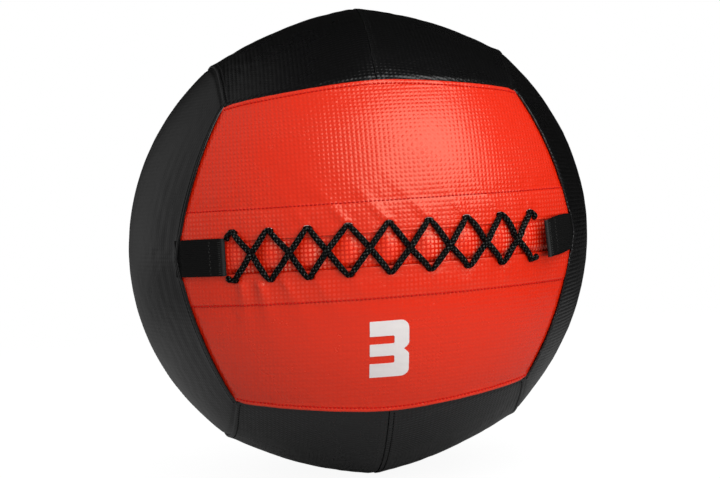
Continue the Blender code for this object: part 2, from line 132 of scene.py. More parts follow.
def dress(piece, slot, body, material, *nodes):
    # The finish, the slot in the record, which nothing here uses, the body it rides on and the
    # solids that it stands for
    if material:
        piece.data.materials.clear()
        piece.data.materials.append(material)
    if body:
        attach(piece, body)
    if nodes:
        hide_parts(*nodes)


def unit(vectors):
    return vectors / np.linalg.norm(vectors, axis=-1, keepdims=True)


def smooth(share):
    share = np.clip(share, 0, 1)
    return share * share * (3 - 2 * share)


def runAlong(line):
    # How far each point of a line is from its start
    return np.concatenate(([0], np.cumsum(np.linalg.norm(np.diff(line, axis=0), axis=1))))


def pointsAt(wanted, run, line):
    return np.column_stack([np.interp(wanted, run, line[:, i]) for i in range(3)])


def nearness(distance, reach):
    # From 1 at an edge down to 0 at its reach
    return 1 - smooth(distance / reach)


def bell(distance, width):
    return np.exp(-(distance / width) ** 2)


def rolled(distance, radius):
    # How far a rolled edge has dropped at a distance in from the edge
    share = np.clip(1 - distance / radius, 0, 1)
    return radius * (1 - np.sqrt(1 - share * share))


def groove(distance, middle, depth, width):
    return -depth * bell(distance - middle, width)


def ripple(points, size, seed):
    # Soft random rise and fall from about -1 to 1, the same on every run
    shift = Vector((seed, seed * 0.37, -seed * 0.71))
    return np.array([noise.noise(Vector(point) / size + shift) for point in points])


# Camera, lamps, backdrop

camera = {
    "azimuth": -6.35, "elevation": 1.7, "roll": -3.1, "distance": 1.05,
    "aim": (0, 0, 0.17468), "lens": 68.03, "sensor": 36,
    "shift": (-0.1 / 720, 2.0 / 720),
}
lamps = {
    "keyLamp": {"azimuth": 29, "elevation": 37, "reach": 1.3, "size": (1.2, 1.12), "power": 7.5,
                "mirrored": True},
    "sideLamp": {"azimuth": 24, "elevation": -1, "reach": 1.6, "size": (1.4, 0.28), "power": 12.6,
                 "mirrored": False},
}
studio = {
    "ambient": 0.88,
    "glossLow": 0.055, "glossHigh": 0.008, "glossFrom": -0.25, "glossTo": 0.30,
    "glossRight": 0.45, "glossLeft": 0.18,
    "towardsBack": (-0.35, 0.3), "towardsLeft": (-0.15, -0.7),
    "floorRadius": 4.0, "floorSides": 96, "floorTurn": (-0.4, 0.4),
    "floorNear": 0.27, "floorLeft": 0.15, "floorRight": 0.04,
    "paleFrom": 0.15, "paleTo": 0.75, "floorShown": 0.12, "floorGlow": 0.925,
    "fadeFrom": 0.5, "fadeTo": 1.3,
}


def heading(azimuth, elevation):
    turn, lift = radians(azimuth), radians(elevation)
    return Vector((sin(turn) * cos(lift), -cos(turn) * cos(lift), sin(lift)))


def addCamera():
    back = heading(camera["azimuth"], camera["elevation"])
    turn, roll = radians(camera["azimuth"]), radians(camera["roll"])
    level = Vector((cos(turn), sin(turn), 0))
    upright = back.cross(level)
    right = level * cos(roll) + upright * sin(roll)
    up = upright * cos(roll) - level * sin(roll)
    selectOnly()
    bpy.ops.object.camera_add()
    view = bpy.context.object
    view.data.lens, view.data.sensor_width = camera["lens"], camera["sensor"]
    view.data.sensor_fit = "HORIZONTAL"
    view.data.shift_x, view.data.shift_y = camera["shift"]
    place = Matrix.Translation(Vector(camera["aim"]) + back * camera["distance"])
    view.matrix_world = place @ Matrix((right, up, back)).transposed().to_4x4()
    bpy.context.scene.camera = view


def addLamps():
    for name, at in lamps.items():
        towards = heading(at["azimuth"], at["elevation"])
        selectOnly()
        place = Vector(camera["aim"]) + towards * at["reach"]
        bpy.ops.object.light_add(type="AREA", location=place)
        lamp = bpy.context.object
        lamp.name = name
        lamp.data.shape = "RECTANGLE"
        lamp.data.size, lamp.data.size_y = at["size"]
        lamp.data.energy = at["power"]
        lamp.visible_glossy = at["mirrored"]
        lamp.rotation_euler = towards.to_track_quat("Z", "Y").to_euler()


# Node trees: maths on a value adds the Math nodes

class Value:
    def __init__(self, look, socket):
        self.look, self.socket = look, socket

    def out(self, name):
        return Value(self.look, self.socket.node.outputs[name])

    def math(self, operation, *others):
        return self.look.node("Math", (self, *others), operation=operation)

    def __add__(self, other):
        return self.math("ADD", other)

    def __sub__(self, other):
        return self.math("SUBTRACT", other)

    def __rsub__(self, other):
        return self.look.node("Math", (other, self), operation="SUBTRACT")

    def __mul__(self, other):
        return self.math("MULTIPLY", other)

    def __truediv__(self, other):
        return self.math("DIVIDE", other)

    def __abs__(self):
        return self.math("ABSOLUTE")

    __radd__ = __add__
    __rmul__ = __mul__


class Look:
    def __init__(self, tree):
        self.tree = tree
        tree.nodes.clear()

    def node(self, kind, inputs=(), out=0, **settings):
        made = self.tree.nodes.new("ShaderNode" + kind)
        for key, value in settings.items():
            setattr(made, key, value)
        for key, value in inputs.items() if isinstance(inputs, dict) else enumerate(inputs):
            if isinstance(value, Value):
                self.tree.links.new(value.socket, made.inputs[key])
            else:
                made.inputs[key].default_value = value
        return Value(self, made.outputs[out])

    def blend(self, share, first, second):
        inputs = {0: share, 6: first, 7: second}
        return self.node("Mix", inputs, out=2, data_type="RGBA", clamp_factor=True)

    def between(self, value, low, high, start=0.0, end=1.0):
        inputs = {"Value": value, "From Min": low, "From Max": high, "To Min": start, "To Max": end}
        return self.node("MapRange", inputs, interpolation_type="SMOOTHSTEP")

    def noise(self, place, scale, detail=2.0, roughness=0.5):
        inputs = {"Vector": place, "Scale": scale, "Detail": detail, "Roughness": roughness}
        return self.node("TexNoise", inputs, out="Fac")

    def objectPlace(self):
        return self.node("TexCoord", out="Object")

    def flatPlace(self):
        place = self.node("SeparateXYZ", (self.node("UVMap"),))
        return place, place.out("Y")

    def share(self, name):
        return self.node("Attribute", out="Fac", attribute_name=name)

    def surface(self, colour, roughness, height, depth, **constants):
        bump = self.node("Bump", {"Height": height, "Distance": depth, "Strength": 1.0})
        inputs = {"Base Color": colour, "Roughness": roughness, "Normal": bump}
        inputs.update({key.replace("_", " "): value for key, value in constants.items()})
        shader = self.node("BsdfPrincipled", inputs)
        self.node("OutputMaterial", {"Surface": shader}, out=slice(0))


def newLook(name):
    material = bpy.data.materials.new(name)
    material.use_nodes = True
    return material, Look(material.node_tree)


def rgb(red, green, blue):
    return (red, green, blue, 1)


def grey(level):
    return rgb(level, level, level)


def lightWorld():
    world = bpy.data.worlds.new("studio")
    bpy.context.scene.world = world
    world.use_nodes = True
    look = Look(world.node_tree)
    path = look.node("LightPath", out="Is Camera Ray")
    mirrored = path.out("Is Glossy Ray").math("MAXIMUM", path.out("Is Transmission Ray"))
    towards = look.node("SeparateXYZ", (look.node("TexCoord", out="Generated"),))
    height = towards.out("Z") + towards.math("MAXIMUM", 0) * studio["glossRight"]
    gloss = look.between(height, studio["glossFrom"], studio["glossTo"],
                         studio["glossLow"], studio["glossHigh"])
    behind = look.between(towards.out("Y"), *studio["towardsBack"])
    gloss = gloss + look.between(towards, *studio["towardsLeft"]) * behind * studio["glossLeft"]
    level = mirrored * gloss + (1 - mirrored) * studio["ambient"]
    level = path + (1 - path) * level
    glow = look.node("Background", {"Color": grey(1), "Strength": level})
    look.node("OutputWorld", {"Surface": glow}, out=slice(0))
    world.cycles.sampling_method = "NONE"       # so that mirrored rays never see the soft light


def addFloor():
    selectOnly()
    bpy.ops.mesh.primitive_circle_add(vertices=studio["floorSides"], radius=studio["floorRadius"],
                                      fill_type="NGON")
    floor = bpy.context.object
    floor.name = "floor"
    material, look = newLook("pale floor")
    seen = look.node("LightPath", out="Is Camera Ray")
    place = look.node("VectorMath", (look.objectPlace(),), out="Value", operation="LENGTH")
    # Bounced and mirrored rays see the floor painted pale near the ball and darker further out,
    # darkest on the right: painted light and shade for the ball's reflections and bounce light
    beyond = look.between(place, studio["paleFrom"], studio["paleTo"])
    near, left, right = [grey(studio["floor" + part]) for part in ("Near", "Left", "Right")]
    side = look.node("SeparateXYZ", (look.objectPlace(),))
    away = look.blend(look.between(side, *studio["floorTurn"]), left, right)
    plain = look.node("BsdfDiffuse", {"Color": look.blend(beyond, near, away)})
    dim = look.node("BsdfDiffuse", {"Color": grey(studio["floorShown"])})
    glow = look.node("Emission", {"Color": grey(1), "Strength": studio["floorGlow"]})
    white = look.node("Emission", {"Color": grey(1), "Strength": 1.0})
    shown = look.node("AddShader", (dim, glow))
    far = look.between(place, studio["fadeFrom"], studio["fadeTo"])
    shown = look.node("MixShader", (far, shown, white))
    shader = look.node("MixShader", (seen, plain, shown))
    look.node("OutputMaterial", {"Surface": shader}, out=slice(0))
    floor.data.materials.append(material)


bpy.context.scene.view_settings.view_transform = "Standard"
addCamera()
addLamps()
lightWorld()
addFloor()
print("studio ready")


# Finishes

# A noise is given by its scale, detail and roughness; a range by where it starts and ends, and what
# it goes from and to there.
# Each vinyl's light colour is painted glints, laid on the crowns of the weave; its darker second
# colour is painted shade in the weave's hollows and also the tone of random darker clouds.
vinyls = {
    "red vinyl": {
        "colour": rgb(0.70, 0.0158, 0.0014), "shadeAndClouds": rgb(0.685, 0.0148, 0.0013),
        "wear": rgb(0.76, 0.034, 0.014), "light": rgb(0.82, 0.085, 0.05), "tip": 0.30,
        "roughness": 0.26, "specular": 1.0, "index": 1.55, "tint": rgb(1, 0.97, 0.72),
        "depth": 0.15 * mm,
    },
    # The tongue's red is painted lighter than the panels' red, with stronger painted glints, to
    # make up for the shade on the recessed tongue
    "tongue vinyl": {
        "colour": rgb(0.92, 0.0280, 0.0035), "shadeAndClouds": rgb(0.66, 0.010, 0.001),
        "wear": rgb(0.80, 0.034, 0.014), "light": rgb(0.94, 0.26, 0.18), "tip": 0.85,
        "roughness": 0.22, "specular": 1.0, "index": 1.55, "tint": rgb(1, 0.97, 0.72),
        "depth": 0.24 * mm,
    },
    "black vinyl": {
        "colour": rgb(0.0040, 0.0039, 0.0041), "shadeAndClouds": rgb(0.0025, 0.0025, 0.0026),
        "wear": rgb(0.010, 0.010, 0.0105), "light": rgb(0.010, 0.010, 0.0105), "tip": 0.0,
        "roughness": 0.28, "specular": 0.85, "index": 1.5, "tint": grey(1),
        "depth": 0.22 * mm,
    },
}
weave = {
    "pitch": 3.0 * mm, "sharpness": 1.7, "over": 0.12, "grain": 0.05, "plainRaised": 0.8,
    "cloudNoise": (14, 3.0), "grainNoise": (1500, 2.0), "scuffNoise": (90, 4.0, 0.65),
    "patchNoise": (42, 1.0), "hollowShadeRange": (0.0, 0.5), "tipRange": (0.15, 0.7),
    "scuffRange": (0.52, 0.75), "patchRange": (0.42, 0.60, 0.25, 1.0),
    "raisedRange": (0.38, 0.6, 0.7, 1.15), "edgeWear": 0.55, "scuffWear": 0.4,
    "cloudFrom": 0.35, "cloudDark": 0.5, "cloudMatt": 0.12, "scuffMatt": 0.03, "edgeMatt": 0.05,
}
raisedShare = {
    "front_upper_panel": 1.6, "front_lower_panel": 0.7, "left_front_panel": 0.35,
    "left_back_panel": 0.35, "right_front_panel": 1.9, "right_back_panel": 1.9,
    "bottom_right_panel": 1.5,
}


def weaveHeight(u, v):
    # The pressed weave: a soft pillow at every crossing, every other one a little higher
    crossing = (u * pi).math("SINE") * (v * pi).math("SINE")
    pillow = abs(crossing).math("POWER", weave["sharpness"])
    return pillow * (1 + crossing.math("SIGN") * weave["over"])


def vinyl(name):
    at = vinyls[name]
    material, look = newLook(name)
    place = look.objectPlace()
    u, v = look.flatPlace()
    pillows = weaveHeight(u / weave["pitch"], v / weave["pitch"])
    cloudy = look.noise(place, *weave["cloudNoise"])
    fine = look.noise(place, *weave["grainNoise"])
    edge = look.share("edge")
    scuffs = look.between(look.noise(place, *weave["scuffNoise"]), *weave["scuffRange"])
    # Painted shade: the hollows of the weave a little darker
    colour = look.blend(look.between(pillows, *weave["hollowShadeRange"]), at["shadeAndClouds"], at["colour"])
    # Painted glints: the crowns of the weave lighter, in patches, where the piece's glint share is
    # high
    patchy = look.between(look.noise(place, *weave["patchNoise"]), *weave["patchRange"])
    tips = look.between(pillows, *weave["tipRange"]) * look.share("rubbed") * patchy
    colour = look.blend(tips * at["tip"], colour, at["light"])
    edgePale = edge * weave["edgeWear"] + edge * scuffs * weave["scuffWear"]
    colour = look.blend(edgePale, colour, at["wear"])
    # Random darker clouds, in the same colour as the painted shade
    colour = look.blend((cloudy - weave["cloudFrom"]) * weave["cloudDark"], colour, at["shadeAndClouds"])
    roughness = at["roughness"] + (cloudy - 0.5) * weave["cloudMatt"]
    roughness = roughness + scuffs * weave["scuffMatt"] + edge * weave["edgeMatt"]
    height = pillows * look.share("raised") * look.between(cloudy, *weave["raisedRange"])
    look.surface(colour, roughness, height + fine * weave["grain"], at["depth"],
                 Specular_IOR_Level=at["specular"], IOR=at["index"], Specular_Tint=at["tint"])
    return material


threads = {
    "red thread": {"colour": rgb(0.48, 0.006, 0.004), "light": rgb(0.62, 0.013, 0.008)},
    "tab thread": {"colour": rgb(0.020, 0.020, 0.019), "light": rgb(0.085, 0.085, 0.080)},
    "black thread": {"colour": grey(0.003), "light": rgb(0.014, 0.014, 0.0145)},
}
twist = {
    "strandNoise": (2600, 2.0, 0.6), "patchNoise": (300, 1.0), "lightRange": (0.4, 0.7),
    "roughness": 0.6, "patchMatt": 0.1, "depth": 0.05 * mm, "specular": 0.15,
}
fabrics = {
    "scrim": {"name": "white scrim", "colour": rgb(0.50, 0.30, 0.27),
              "light": rgb(0.82, 0.74, 0.71), "scale": 2400, "depth": 0.08 * mm},
    "foam": {"name": "grey foam", "colour": rgb(0.22, 0.22, 0.23),
             "light": rgb(0.36, 0.36, 0.37), "scale": 700, "depth": 0.4 * mm},
    "fibre": {"name": "pressed fibre", "colour": rgb(0.40, 0.38, 0.34),
              "light": rgb(0.70, 0.67, 0.60), "scale": 260, "depth": 1.2 * mm},
    "canvas": {"name": "plain canvas", "colour": rgb(0.34, 0.29, 0.20),
               "light": rgb(0.50, 0.44, 0.32), "scale": 1300, "depth": 0.2 * mm},
    "sand": {"name": "dry sand", "colour": rgb(0.30, 0.22, 0.13),
             "light": rgb(0.62, 0.50, 0.33), "scale": 1900, "depth": 0.4 * mm},
}
grain = {
    "detail": 4.0, "detailRough": 0.6, "broader": 12, "lightRange": (0.35, 0.7),
    "least": 0.6, "broadLight": 0.6, "roughness": 0.85, "broadMatt": 0.08,
}
film = {
    "cloudNoise": (60, 3.0), "grainNoise": (900, 2.0), "colour": rgb(0.68, 0.635, 0.625),
    "light": rgb(0.76, 0.72, 0.71), "roughness": 0.42, "grainMatt": 0.1, "depth": 0.03 * mm,
}


def thread(name):
    at = threads[name]
    material, look = newLook(name)
    place = look.objectPlace()
    strands = look.noise(place, *twist["strandNoise"])
    patchy = look.noise(place, *twist["patchNoise"])
    lit = look.between(strands, *twist["lightRange"]) * patchy
    roughness = twist["roughness"] + patchy * twist["patchMatt"]
    look.surface(look.blend(lit, at["colour"], at["light"]), roughness, strands, twist["depth"],
                 Specular_IOR_Level=twist["specular"])
    return material


def fabric(name, colour, light, scale, depth):
    # Plain cloth, fibre or foam: colour and relief from noise of that scale
    at = grain
    material, look = newLook(name)
    place = look.objectPlace()
    coarse = look.noise(place, scale, at["detail"], at["detailRough"])
    broad = look.noise(place, scale / at["broader"])
    lit = look.between(coarse, *at["lightRange"]) * (at["least"] + broad * at["broadLight"])
    roughness = at["roughness"] + broad * at["broadMatt"]
    look.surface(look.blend(lit, colour, light), roughness, coarse, depth)
    return material


def printFilm():
    material, look = newLook("printed film")
    place = look.objectPlace()
    colour = look.blend(look.noise(place, *film["cloudNoise"]), film["colour"], film["light"])
    fine = look.noise(place, *film["grainNoise"])
    look.surface(colour, film["roughness"] + fine * film["grainMatt"], fine, film["depth"])
    return material


finishes = {name: vinyl(name) for name in vinyls}
finishes |= {name: thread(name) for name in threads}
finishes |= {name: fabric(**at) for name, at in fabrics.items()}
finishes["print"] = printFilm()
print("finishes ready")


# The ball's surface, the same as in the solids: a cube's faces on a ball, each split in two

ball = {
    "radius": 175 * mm, "seamRise": 1.5 * mm, "dip": 3.6 * mm, "ovalShare": 0.0134,
    "ovalAngle": 47, "flatDepth": 2.0 * mm, "seamReach": 51,
    "edgeBow": {"x": -0.8, "y": 1.8, "z": 2.6}, "clear": 0.2 * mm,
}
radius = ball["radius"]
seamRadius = radius + ball["seamRise"]
seamReach = radians(ball["seamReach"])
halfHeight = pi / 2 - seamReach
frontReach = radius * seamReach
axes = {"x": np.array((1.0, 0, 0)), "y": np.array((0, 1.0, 0)), "z": np.array((0, 0, 1.0))}
ovalTurn = radians(ball["ovalAngle"])
longAxis = np.array((cos(ovalTurn), 0, sin(ovalTurn)))
shortAxis = np.array((-sin(ovalTurn), 0, cos(ovalTurn)))
stretch = ball["ovalShare"]
oval = np.eye(3) + stretch * (np.outer(longAxis, longAxis) - np.outer(shortAxis, shortAxis))
lowestSeam = seamRadius * hypot((1 + stretch) * longAxis[2], (1 - stretch) * shortAxis[2])
centreHeight = lowestSeam - ball["flatDepth"]


def setDown(points):
    # From the round ball about its middle to the oval one, standing on the floor
    points = points @ oval.T + np.array((0, 0, centreHeight))
    points[..., 2] = np.maximum(points[..., 2], ball["clear"])
    return points


def arcPoints(start, end, share, bow, towards):
    # Points on the arc between two directions, bowed sideways by so many degrees
    angle = np.arccos(np.clip(start @ end, -1, 1))
    share = np.asarray(share)[..., None]
    points = (np.sin((1 - share) * angle) * start + np.sin(share * angle) * end) / np.sin(angle)
    side = unit(np.cross(start, end))
    if side @ towards < 0:
        side = -side
    push = radians(bow) * np.sin(pi * share)
    return np.cos(push) * points + np.sin(push) * side


class Panel:
    def __init__(self, face, sign, seam, side, sideSign, over=False):
        self.bow, self.endBow = ball["edgeBow"][face], ball["edgeBow"][seam]
        self.axis, self.seam, self.side = axes[face] * sign, axes[seam], axes[side] * sideSign
        self.over = over                        # lies over its other half at the middle seam
        self.front = face == "y" and sign < 0
        self.upward = self.side[2]              # 1 for a front panel above the lacing, -1 below

    def direction(self, lon, lat):
        lon, lat = np.asarray(lon)[..., None], np.asarray(lat)[..., None]
        level = np.cos(lon) * self.axis + np.sin(lon) * self.seam
        return np.cos(lat) * level + np.sin(lat) * self.side

    def angles(self, points):
        return (np.arctan2(points @ self.seam, points @ self.axis),
                np.arcsin(np.clip(points @ self.side, -1, 1)))

    def spot(self, along, up):
        # Angles of a point from -1 to 1 along the panel and 0 to 1 up it
        turn = np.where(np.asarray(along) < 0, -1.0, 1.0)
        u = np.abs(along)
        corner = unit(self.axis + self.seam + self.side)
        middle, end = self.direction(0, halfHeight), self.direction(seamReach, 0)
        longLon, longLat = self.angles(arcPoints(middle, corner, u, self.bow, self.axis))
        endLon, endLat = self.angles(arcPoints(end, corner, up, self.endBow, self.seam))
        cornerLon, cornerLat = self.angles(corner)
        lon = up * longLon + u * endLon - u * up * cornerLon
        lat = up * longLat + u * endLat - u * up * cornerLat
        return turn * lon, lat

    def reach(self, up):
        end = self.direction(*self.spot(np.ones_like(up), up))
        return radius * np.arccos(np.sum(self.direction(0 * up, up * halfHeight) * end, axis=-1))

    def height(self, along):
        low = self.direction(*self.spot(along, np.zeros_like(along)))
        high = self.direction(*self.spot(along, np.ones_like(along)))
        return radius * np.arccos(np.sum(low * high, axis=-1))

    def meanRadius(self, along, up, lon, lat):
        if self.front:
            rise = np.minimum(1, np.abs(lat) / halfHeight)
            run = np.minimum(1, np.abs(lon) / seamReach)
            return seamRadius - ball["dip"] * (1 - rise ** 2) * (1 - run ** 4)
        up, run = np.clip(up, 0, 1), np.minimum(1, np.abs(along))
        return seamRadius - ball["dip"] * 4 * up * (1 - up) * (1 - run ** 4)


panels = {
    "top_left_panel": Panel("z", 1, "y", "x", -1),
    "top_right_panel": Panel("z", 1, "y", "x", 1, over=True),
    "bottom_left_panel": Panel("z", -1, "y", "x", -1),
    "bottom_right_panel": Panel("z", -1, "y", "x", 1, over=True),
    "left_front_panel": Panel("x", -1, "z", "y", -1, over=True),
    "left_back_panel": Panel("x", -1, "z", "y", 1),
    "right_front_panel": Panel("x", 1, "z", "y", -1, over=True),
    "right_back_panel": Panel("x", 1, "z", "y", 1),
    "back_upper_panel": Panel("y", 1, "x", "z", 1, over=True),
    "back_lower_panel": Panel("y", 1, "x", "z", -1),
    "front_upper_panel": Panel("y", -1, "x", "z", 1),
    "front_lower_panel": Panel("y", -1, "x", "z", -1),
}
frontUp = panels["front_upper_panel"]


def onFront(x, y, lift):
    # The point x along the lacing and y above it, both on the surface, lifted off it
    x, y, lift = np.broadcast_arrays(*[np.asarray(value, dtype=float) for value in (x, y, lift)])
    lat = y / radius
    lon = x / (radius * np.cos(lat))
    reach = frontUp.meanRadius(None, None, lon, lat) + lift
    return setDown(frontUp.direction(lon, lat) * reach[..., None])


# Panels: sewn vinyl with lapped seams, rolled edges and stitched grooves

# The grid's stops are in mm from an edge. A fold is its place along the lacing in mm, its tilt,
# its height in mm and its width in mm.
sewing = {
    "thickness": 1.0 * mm, "step": 2.4 * mm, "frontStep": 1.5 * mm,
    "stops": [0, 0.2, 0.5, 0.9, 1.4, 2, 2.6, 3, 3.4, 3.8, 4.3, 5, 6, 7.5, 9.5],
    "lapRise": 0.9 * mm, "lapWidth": 7 * mm, "lapRoll": 1.1 * mm,
    "puff": 0.25 * mm, "puffAt": 1.9 * mm, "puffWidth": 1.0 * mm,
    "tuckDrop": 0.5 * mm, "tuckWidth": 5 * mm, "tuckUnder": 1.0 * mm,
    "seamRise": 0.4 * mm, "seamWidth": 6 * mm, "seamRoll": 0.9 * mm, "seamDrop": 0.2 * mm,
    "underRoll": 0.5 * mm, "seamGap": 0.15 * mm, "cornerFade": 8 * mm,
    "lapStitch": 3.5 * mm, "seamStitch": 3.3 * mm,
    "grooveDepth": 0.45 * mm, "grooveWidth": 0.36 * mm,
    "pucker": 0.16 * mm, "puckerSize": 9 * mm, "puckerFade": 7 * mm, "puckerSeed": 3,
    "sway": 0.35 * mm, "swaySize": 38 * mm, "swayFade": 15 * mm, "swaySeed": 7,
    "tabHalf": 12.5 * mm, "tabRise": 1.1 * mm, "tabFade": 4 * mm, "tabReach": 8 * mm,
    "wearReach": 0.9 * mm, "seamWear": 0.7, "stitchEnd": 0.985, "hemEnd": 7 * mm, "linePoints": 240,
    "fill": 0.85,
}
flap = {
    "upperEdge": 10 * mm, "lowerEdge": 12 * mm,
    "stops": [0, 0.2, 0.5, 0.9, 1.3, 1.7, 2.2, 3, 4, 5, 6, 7, 8.2, 9.5, 11, 12.5, 14, 15.5, 17,
              18.3, 19.3, 20, 20.5, 21, 21.5, 22.1, 23, 24.5],
    "roll": 0.55 * mm, "hemRise": 0.4 * mm, "hemFade": 2 * mm, "hem": 21 * mm,
    "hemDepth": 0.10 * mm, "hemWidth": 0.6 * mm, "pressed": 0.45 * mm, "pressedWidth": 3 * mm,
    "edgeStitch": 1.6 * mm, "edgeStitchDepth": 0.16 * mm, "edgeStitchWidth": 0.35 * mm,
    "scallop": 0.3 * mm, "scallopReach": 9 * mm,
    "foldReach": 13 * mm, "foldStart": 5 * mm, "foldEase": 1 * mm, "foldSpread": 30 * mm,
    "smoothFrom": 3 * mm, "glintPaintBeyond": 0.03,
    "upperFolds": ((-106, -0.4, 0.4, 3.0), (-80, -0.6, 0.5, 3.0), (-53, -0.7, 0.7, 3.0),
                   (-26, -0.8, 1.7, 3.3), (1, -0.85, 2.0, 3.4), (28, -0.8, 1.9, 3.2),
                   (54, -0.65, 1.6, 3.0), (81, -0.75, 1.3, 2.3), (106, 0.4, 0.5, 3.0)),
    "lowerFolds": ((-102, 0.05, 3.4, 3.0), (-88.5, 0.2, 4.0, 2.9), (-72, 0.5, 1.8, 3.0),
                   (-50, 0.6, 1.1, 3.2), (-24, 0.3, 0.7, 3.6), (3, 0.1, 0.5, 4.0),
                   (33, -0.3, 0.8, 3.4), (60, -0.5, 1.1, 3.0), (88, -0.5, 0.9, 3.0)),
}
holes = {
    "count": 9, "pitch": 2 * (frontReach - 48.2 * mm) / 8, "row": 15.9 * mm,
    "halfWidth": 3.3 * mm, "halfHeight": 2.0 * mm, "sides": 28, "cutDepth": 14 * mm,
}
holeXs = (np.arange(holes["count"]) - (holes["count"] - 1) / 2) * holes["pitch"]


def flapEdge(upward):
    return flap["upperEdge"] if upward > 0 else flap["lowerEdge"]


def spread(index, count, first, last, length):
    # Distances from the start: set stops at both ends and even steps between them
    low, high = len(first) - 1, count - (len(last) - 1)
    even = first[-1] + (length - first[-1] - last[-1]) * (index - low) / (high - low)
    near = first[np.clip(index, 0, low)]
    far = length - last[np.clip(count - index, 0, len(last) - 1)]
    return np.where(index < low, near, np.where(index > high, far, even))


def seamLift(panel, points, toLong, toShort, toSeam):
    # How far the sewing raises or lowers the vinyl, from the distances to the panel's edges
    at = sewing
    cornerFade = smooth(toShort / at["cornerFade"])
    lift = at["lapRise"] * nearness(toLong, at["lapWidth"])
    lift += at["puff"] * bell(toLong - at["puffAt"], at["puffWidth"])
    lift += groove(toLong, at["lapStitch"], at["grooveDepth"], at["grooveWidth"])
    lift *= cornerFade
    lift -= rolled(toLong, at["lapRoll"])
    tucked = nearness(toShort, at["tuckWidth"]) * smooth(toLong / at["cornerFade"])
    lift -= at["tuckDrop"] * tucked
    if panel.over:
        lift += at["seamRise"] * nearness(toSeam, at["seamWidth"]) * cornerFade
        lift += groove(toSeam, at["seamStitch"], at["grooveDepth"], at["grooveWidth"]) * cornerFade
        lift -= rolled(toSeam, at["seamRoll"])
    elif not panel.front:
        lift -= at["seamDrop"] * nearness(toSeam, at["tuckWidth"])
        lift -= rolled(toSeam, at["underRoll"])
    nearest = np.minimum(np.minimum(toLong, toShort), toSeam)
    puckers = ripple(points, at["puckerSize"], at["puckerSeed"])
    lift += at["pucker"] * puckers * np.exp(-nearest / at["puckerFade"])
    sways = ripple(points, at["swaySize"], at["swaySeed"])
    return lift + at["sway"] * sways * smooth(nearest / at["swayFade"])


def hemLift(upward, x, y, toEdge):
    # The hem, and the folds that the cord pulls into the flap beyond each hole
    at = flap
    lift = at["hemRise"] * nearness(toEdge - at["hem"] + at["hemFade"] / 2, at["hemFade"])
    lift += groove(toEdge, at["hem"], at["hemDepth"], at["hemWidth"])
    if upward > 0:
        lift -= at["pressed"] * np.exp(-toEdge / at["pressedWidth"])
        lift += groove(toEdge, at["edgeStitch"], at["edgeStitchDepth"], at["edgeStitchWidth"])
    lift -= rolled(toEdge, at["roll"])
    wave = np.cos(2 * pi * x / holes["pitch"])
    lift -= at["scallop"] * (0.5 + 0.5 * wave) * np.exp(-toEdge / at["scallopReach"])
    beyond = np.maximum(np.abs(y) - holes["row"], 0)
    grown = smooth((beyond + at["foldEase"]) / at["foldStart"]) * np.exp(-beyond / at["foldReach"])
    for place, tilt, size, width in at["upperFolds" if upward > 0 else "lowerFolds"]:
        wider = width * mm * (1 + beyond / at["foldSpread"])
        across = x - place * mm - tilt * beyond
        lift += size * mm * grown * bell(across, wider)
    return lift


cloth = {
    "frontStep": 3 * mm, "step": 5 * mm, "frames": 24, "pull": 2.2 * mm, "pullReach": 5.5 * mm,
    "held": 2.6 * mm, "hemHeld": 1.5 * mm, "looseReach": 10 * mm, "slack": 0.003,
    "flapSlack": 0.024, "pressure": 2.0, "mass": 0.05, "stretch": 12.0, "bending": 0.05,
    "quality": 6, "damping": 3.0,
    "most": 1.3 * mm, "leastShare": 0.6, "underLace": 0.5, "laceFrom": 1 * mm, "laceFade": 5 * mm,
    "edgeFade": 4 * mm, "broad": 9, "broadShare": 0.7, "sewnFrom": 0.999,
}


def blurred(field, reach):
    kernel = np.ones(reach) / reach
    for axis in (0, 1):
        margins = [(reach // 2, reach // 2) if i == axis else (0, 0) for i in (0, 1)]
        wide = np.pad(field, margins, "edge")
        field = np.apply_along_axis(np.convolve, axis, wide, kernel, "valid")
    return field


def addGroup(piece, name, weights):
    group = piece.vertex_groups.new(name=name)
    for i in np.nonzero(weights)[0]:
        group.add([int(i)], float(weights[i]), "REPLACE")
    return group.name


def settle(piece, rest, held, loose, way):
    # Blow the piece up a little with its held points still, and say where its points come to lie
    at = cloth
    heldName, looseName = addGroup(piece, "held", held), addGroup(piece, "loose", loose)
    piece.shape_key_add(name="start")
    relaxed = piece.shape_key_add(name="rest")
    relaxed.data.foreach_set("co", rest.ravel())
    modifier = piece.modifiers.new("Cloth", "CLOTH")
    settings = modifier.settings
    settings.rest_shape_key = relaxed
    settings.vertex_group_mass = heldName
    settings.quality, settings.mass, settings.air_damping = at["quality"], at["mass"], at["damping"]
    settings.tension_stiffness = settings.compression_stiffness = at["stretch"]
    settings.shear_stiffness, settings.bending_stiffness = at["stretch"] / 2, at["bending"]
    settings.vertex_group_shrink = looseName
    settings.shrink_min, settings.shrink_max = -at["slack"], -at["flapSlack"]
    settings.use_pressure, settings.uniform_pressure_force = True, way * at["pressure"]
    settings.effector_weights.gravity = 0
    modifier.collision_settings.use_collision = False
    modifier.point_cache.frame_start, modifier.point_cache.frame_end = 1, at["frames"]
    for frameNumber in range(1, at["frames"] + 1):
        bpy.context.scene.frame_set(frameNumber)
    points = readPoints(piece.evaluated_get(bpy.context.evaluated_depsgraph_get()))
    bpy.data.objects.remove(piece)
    bpy.context.scene.frame_set(1)
    return points


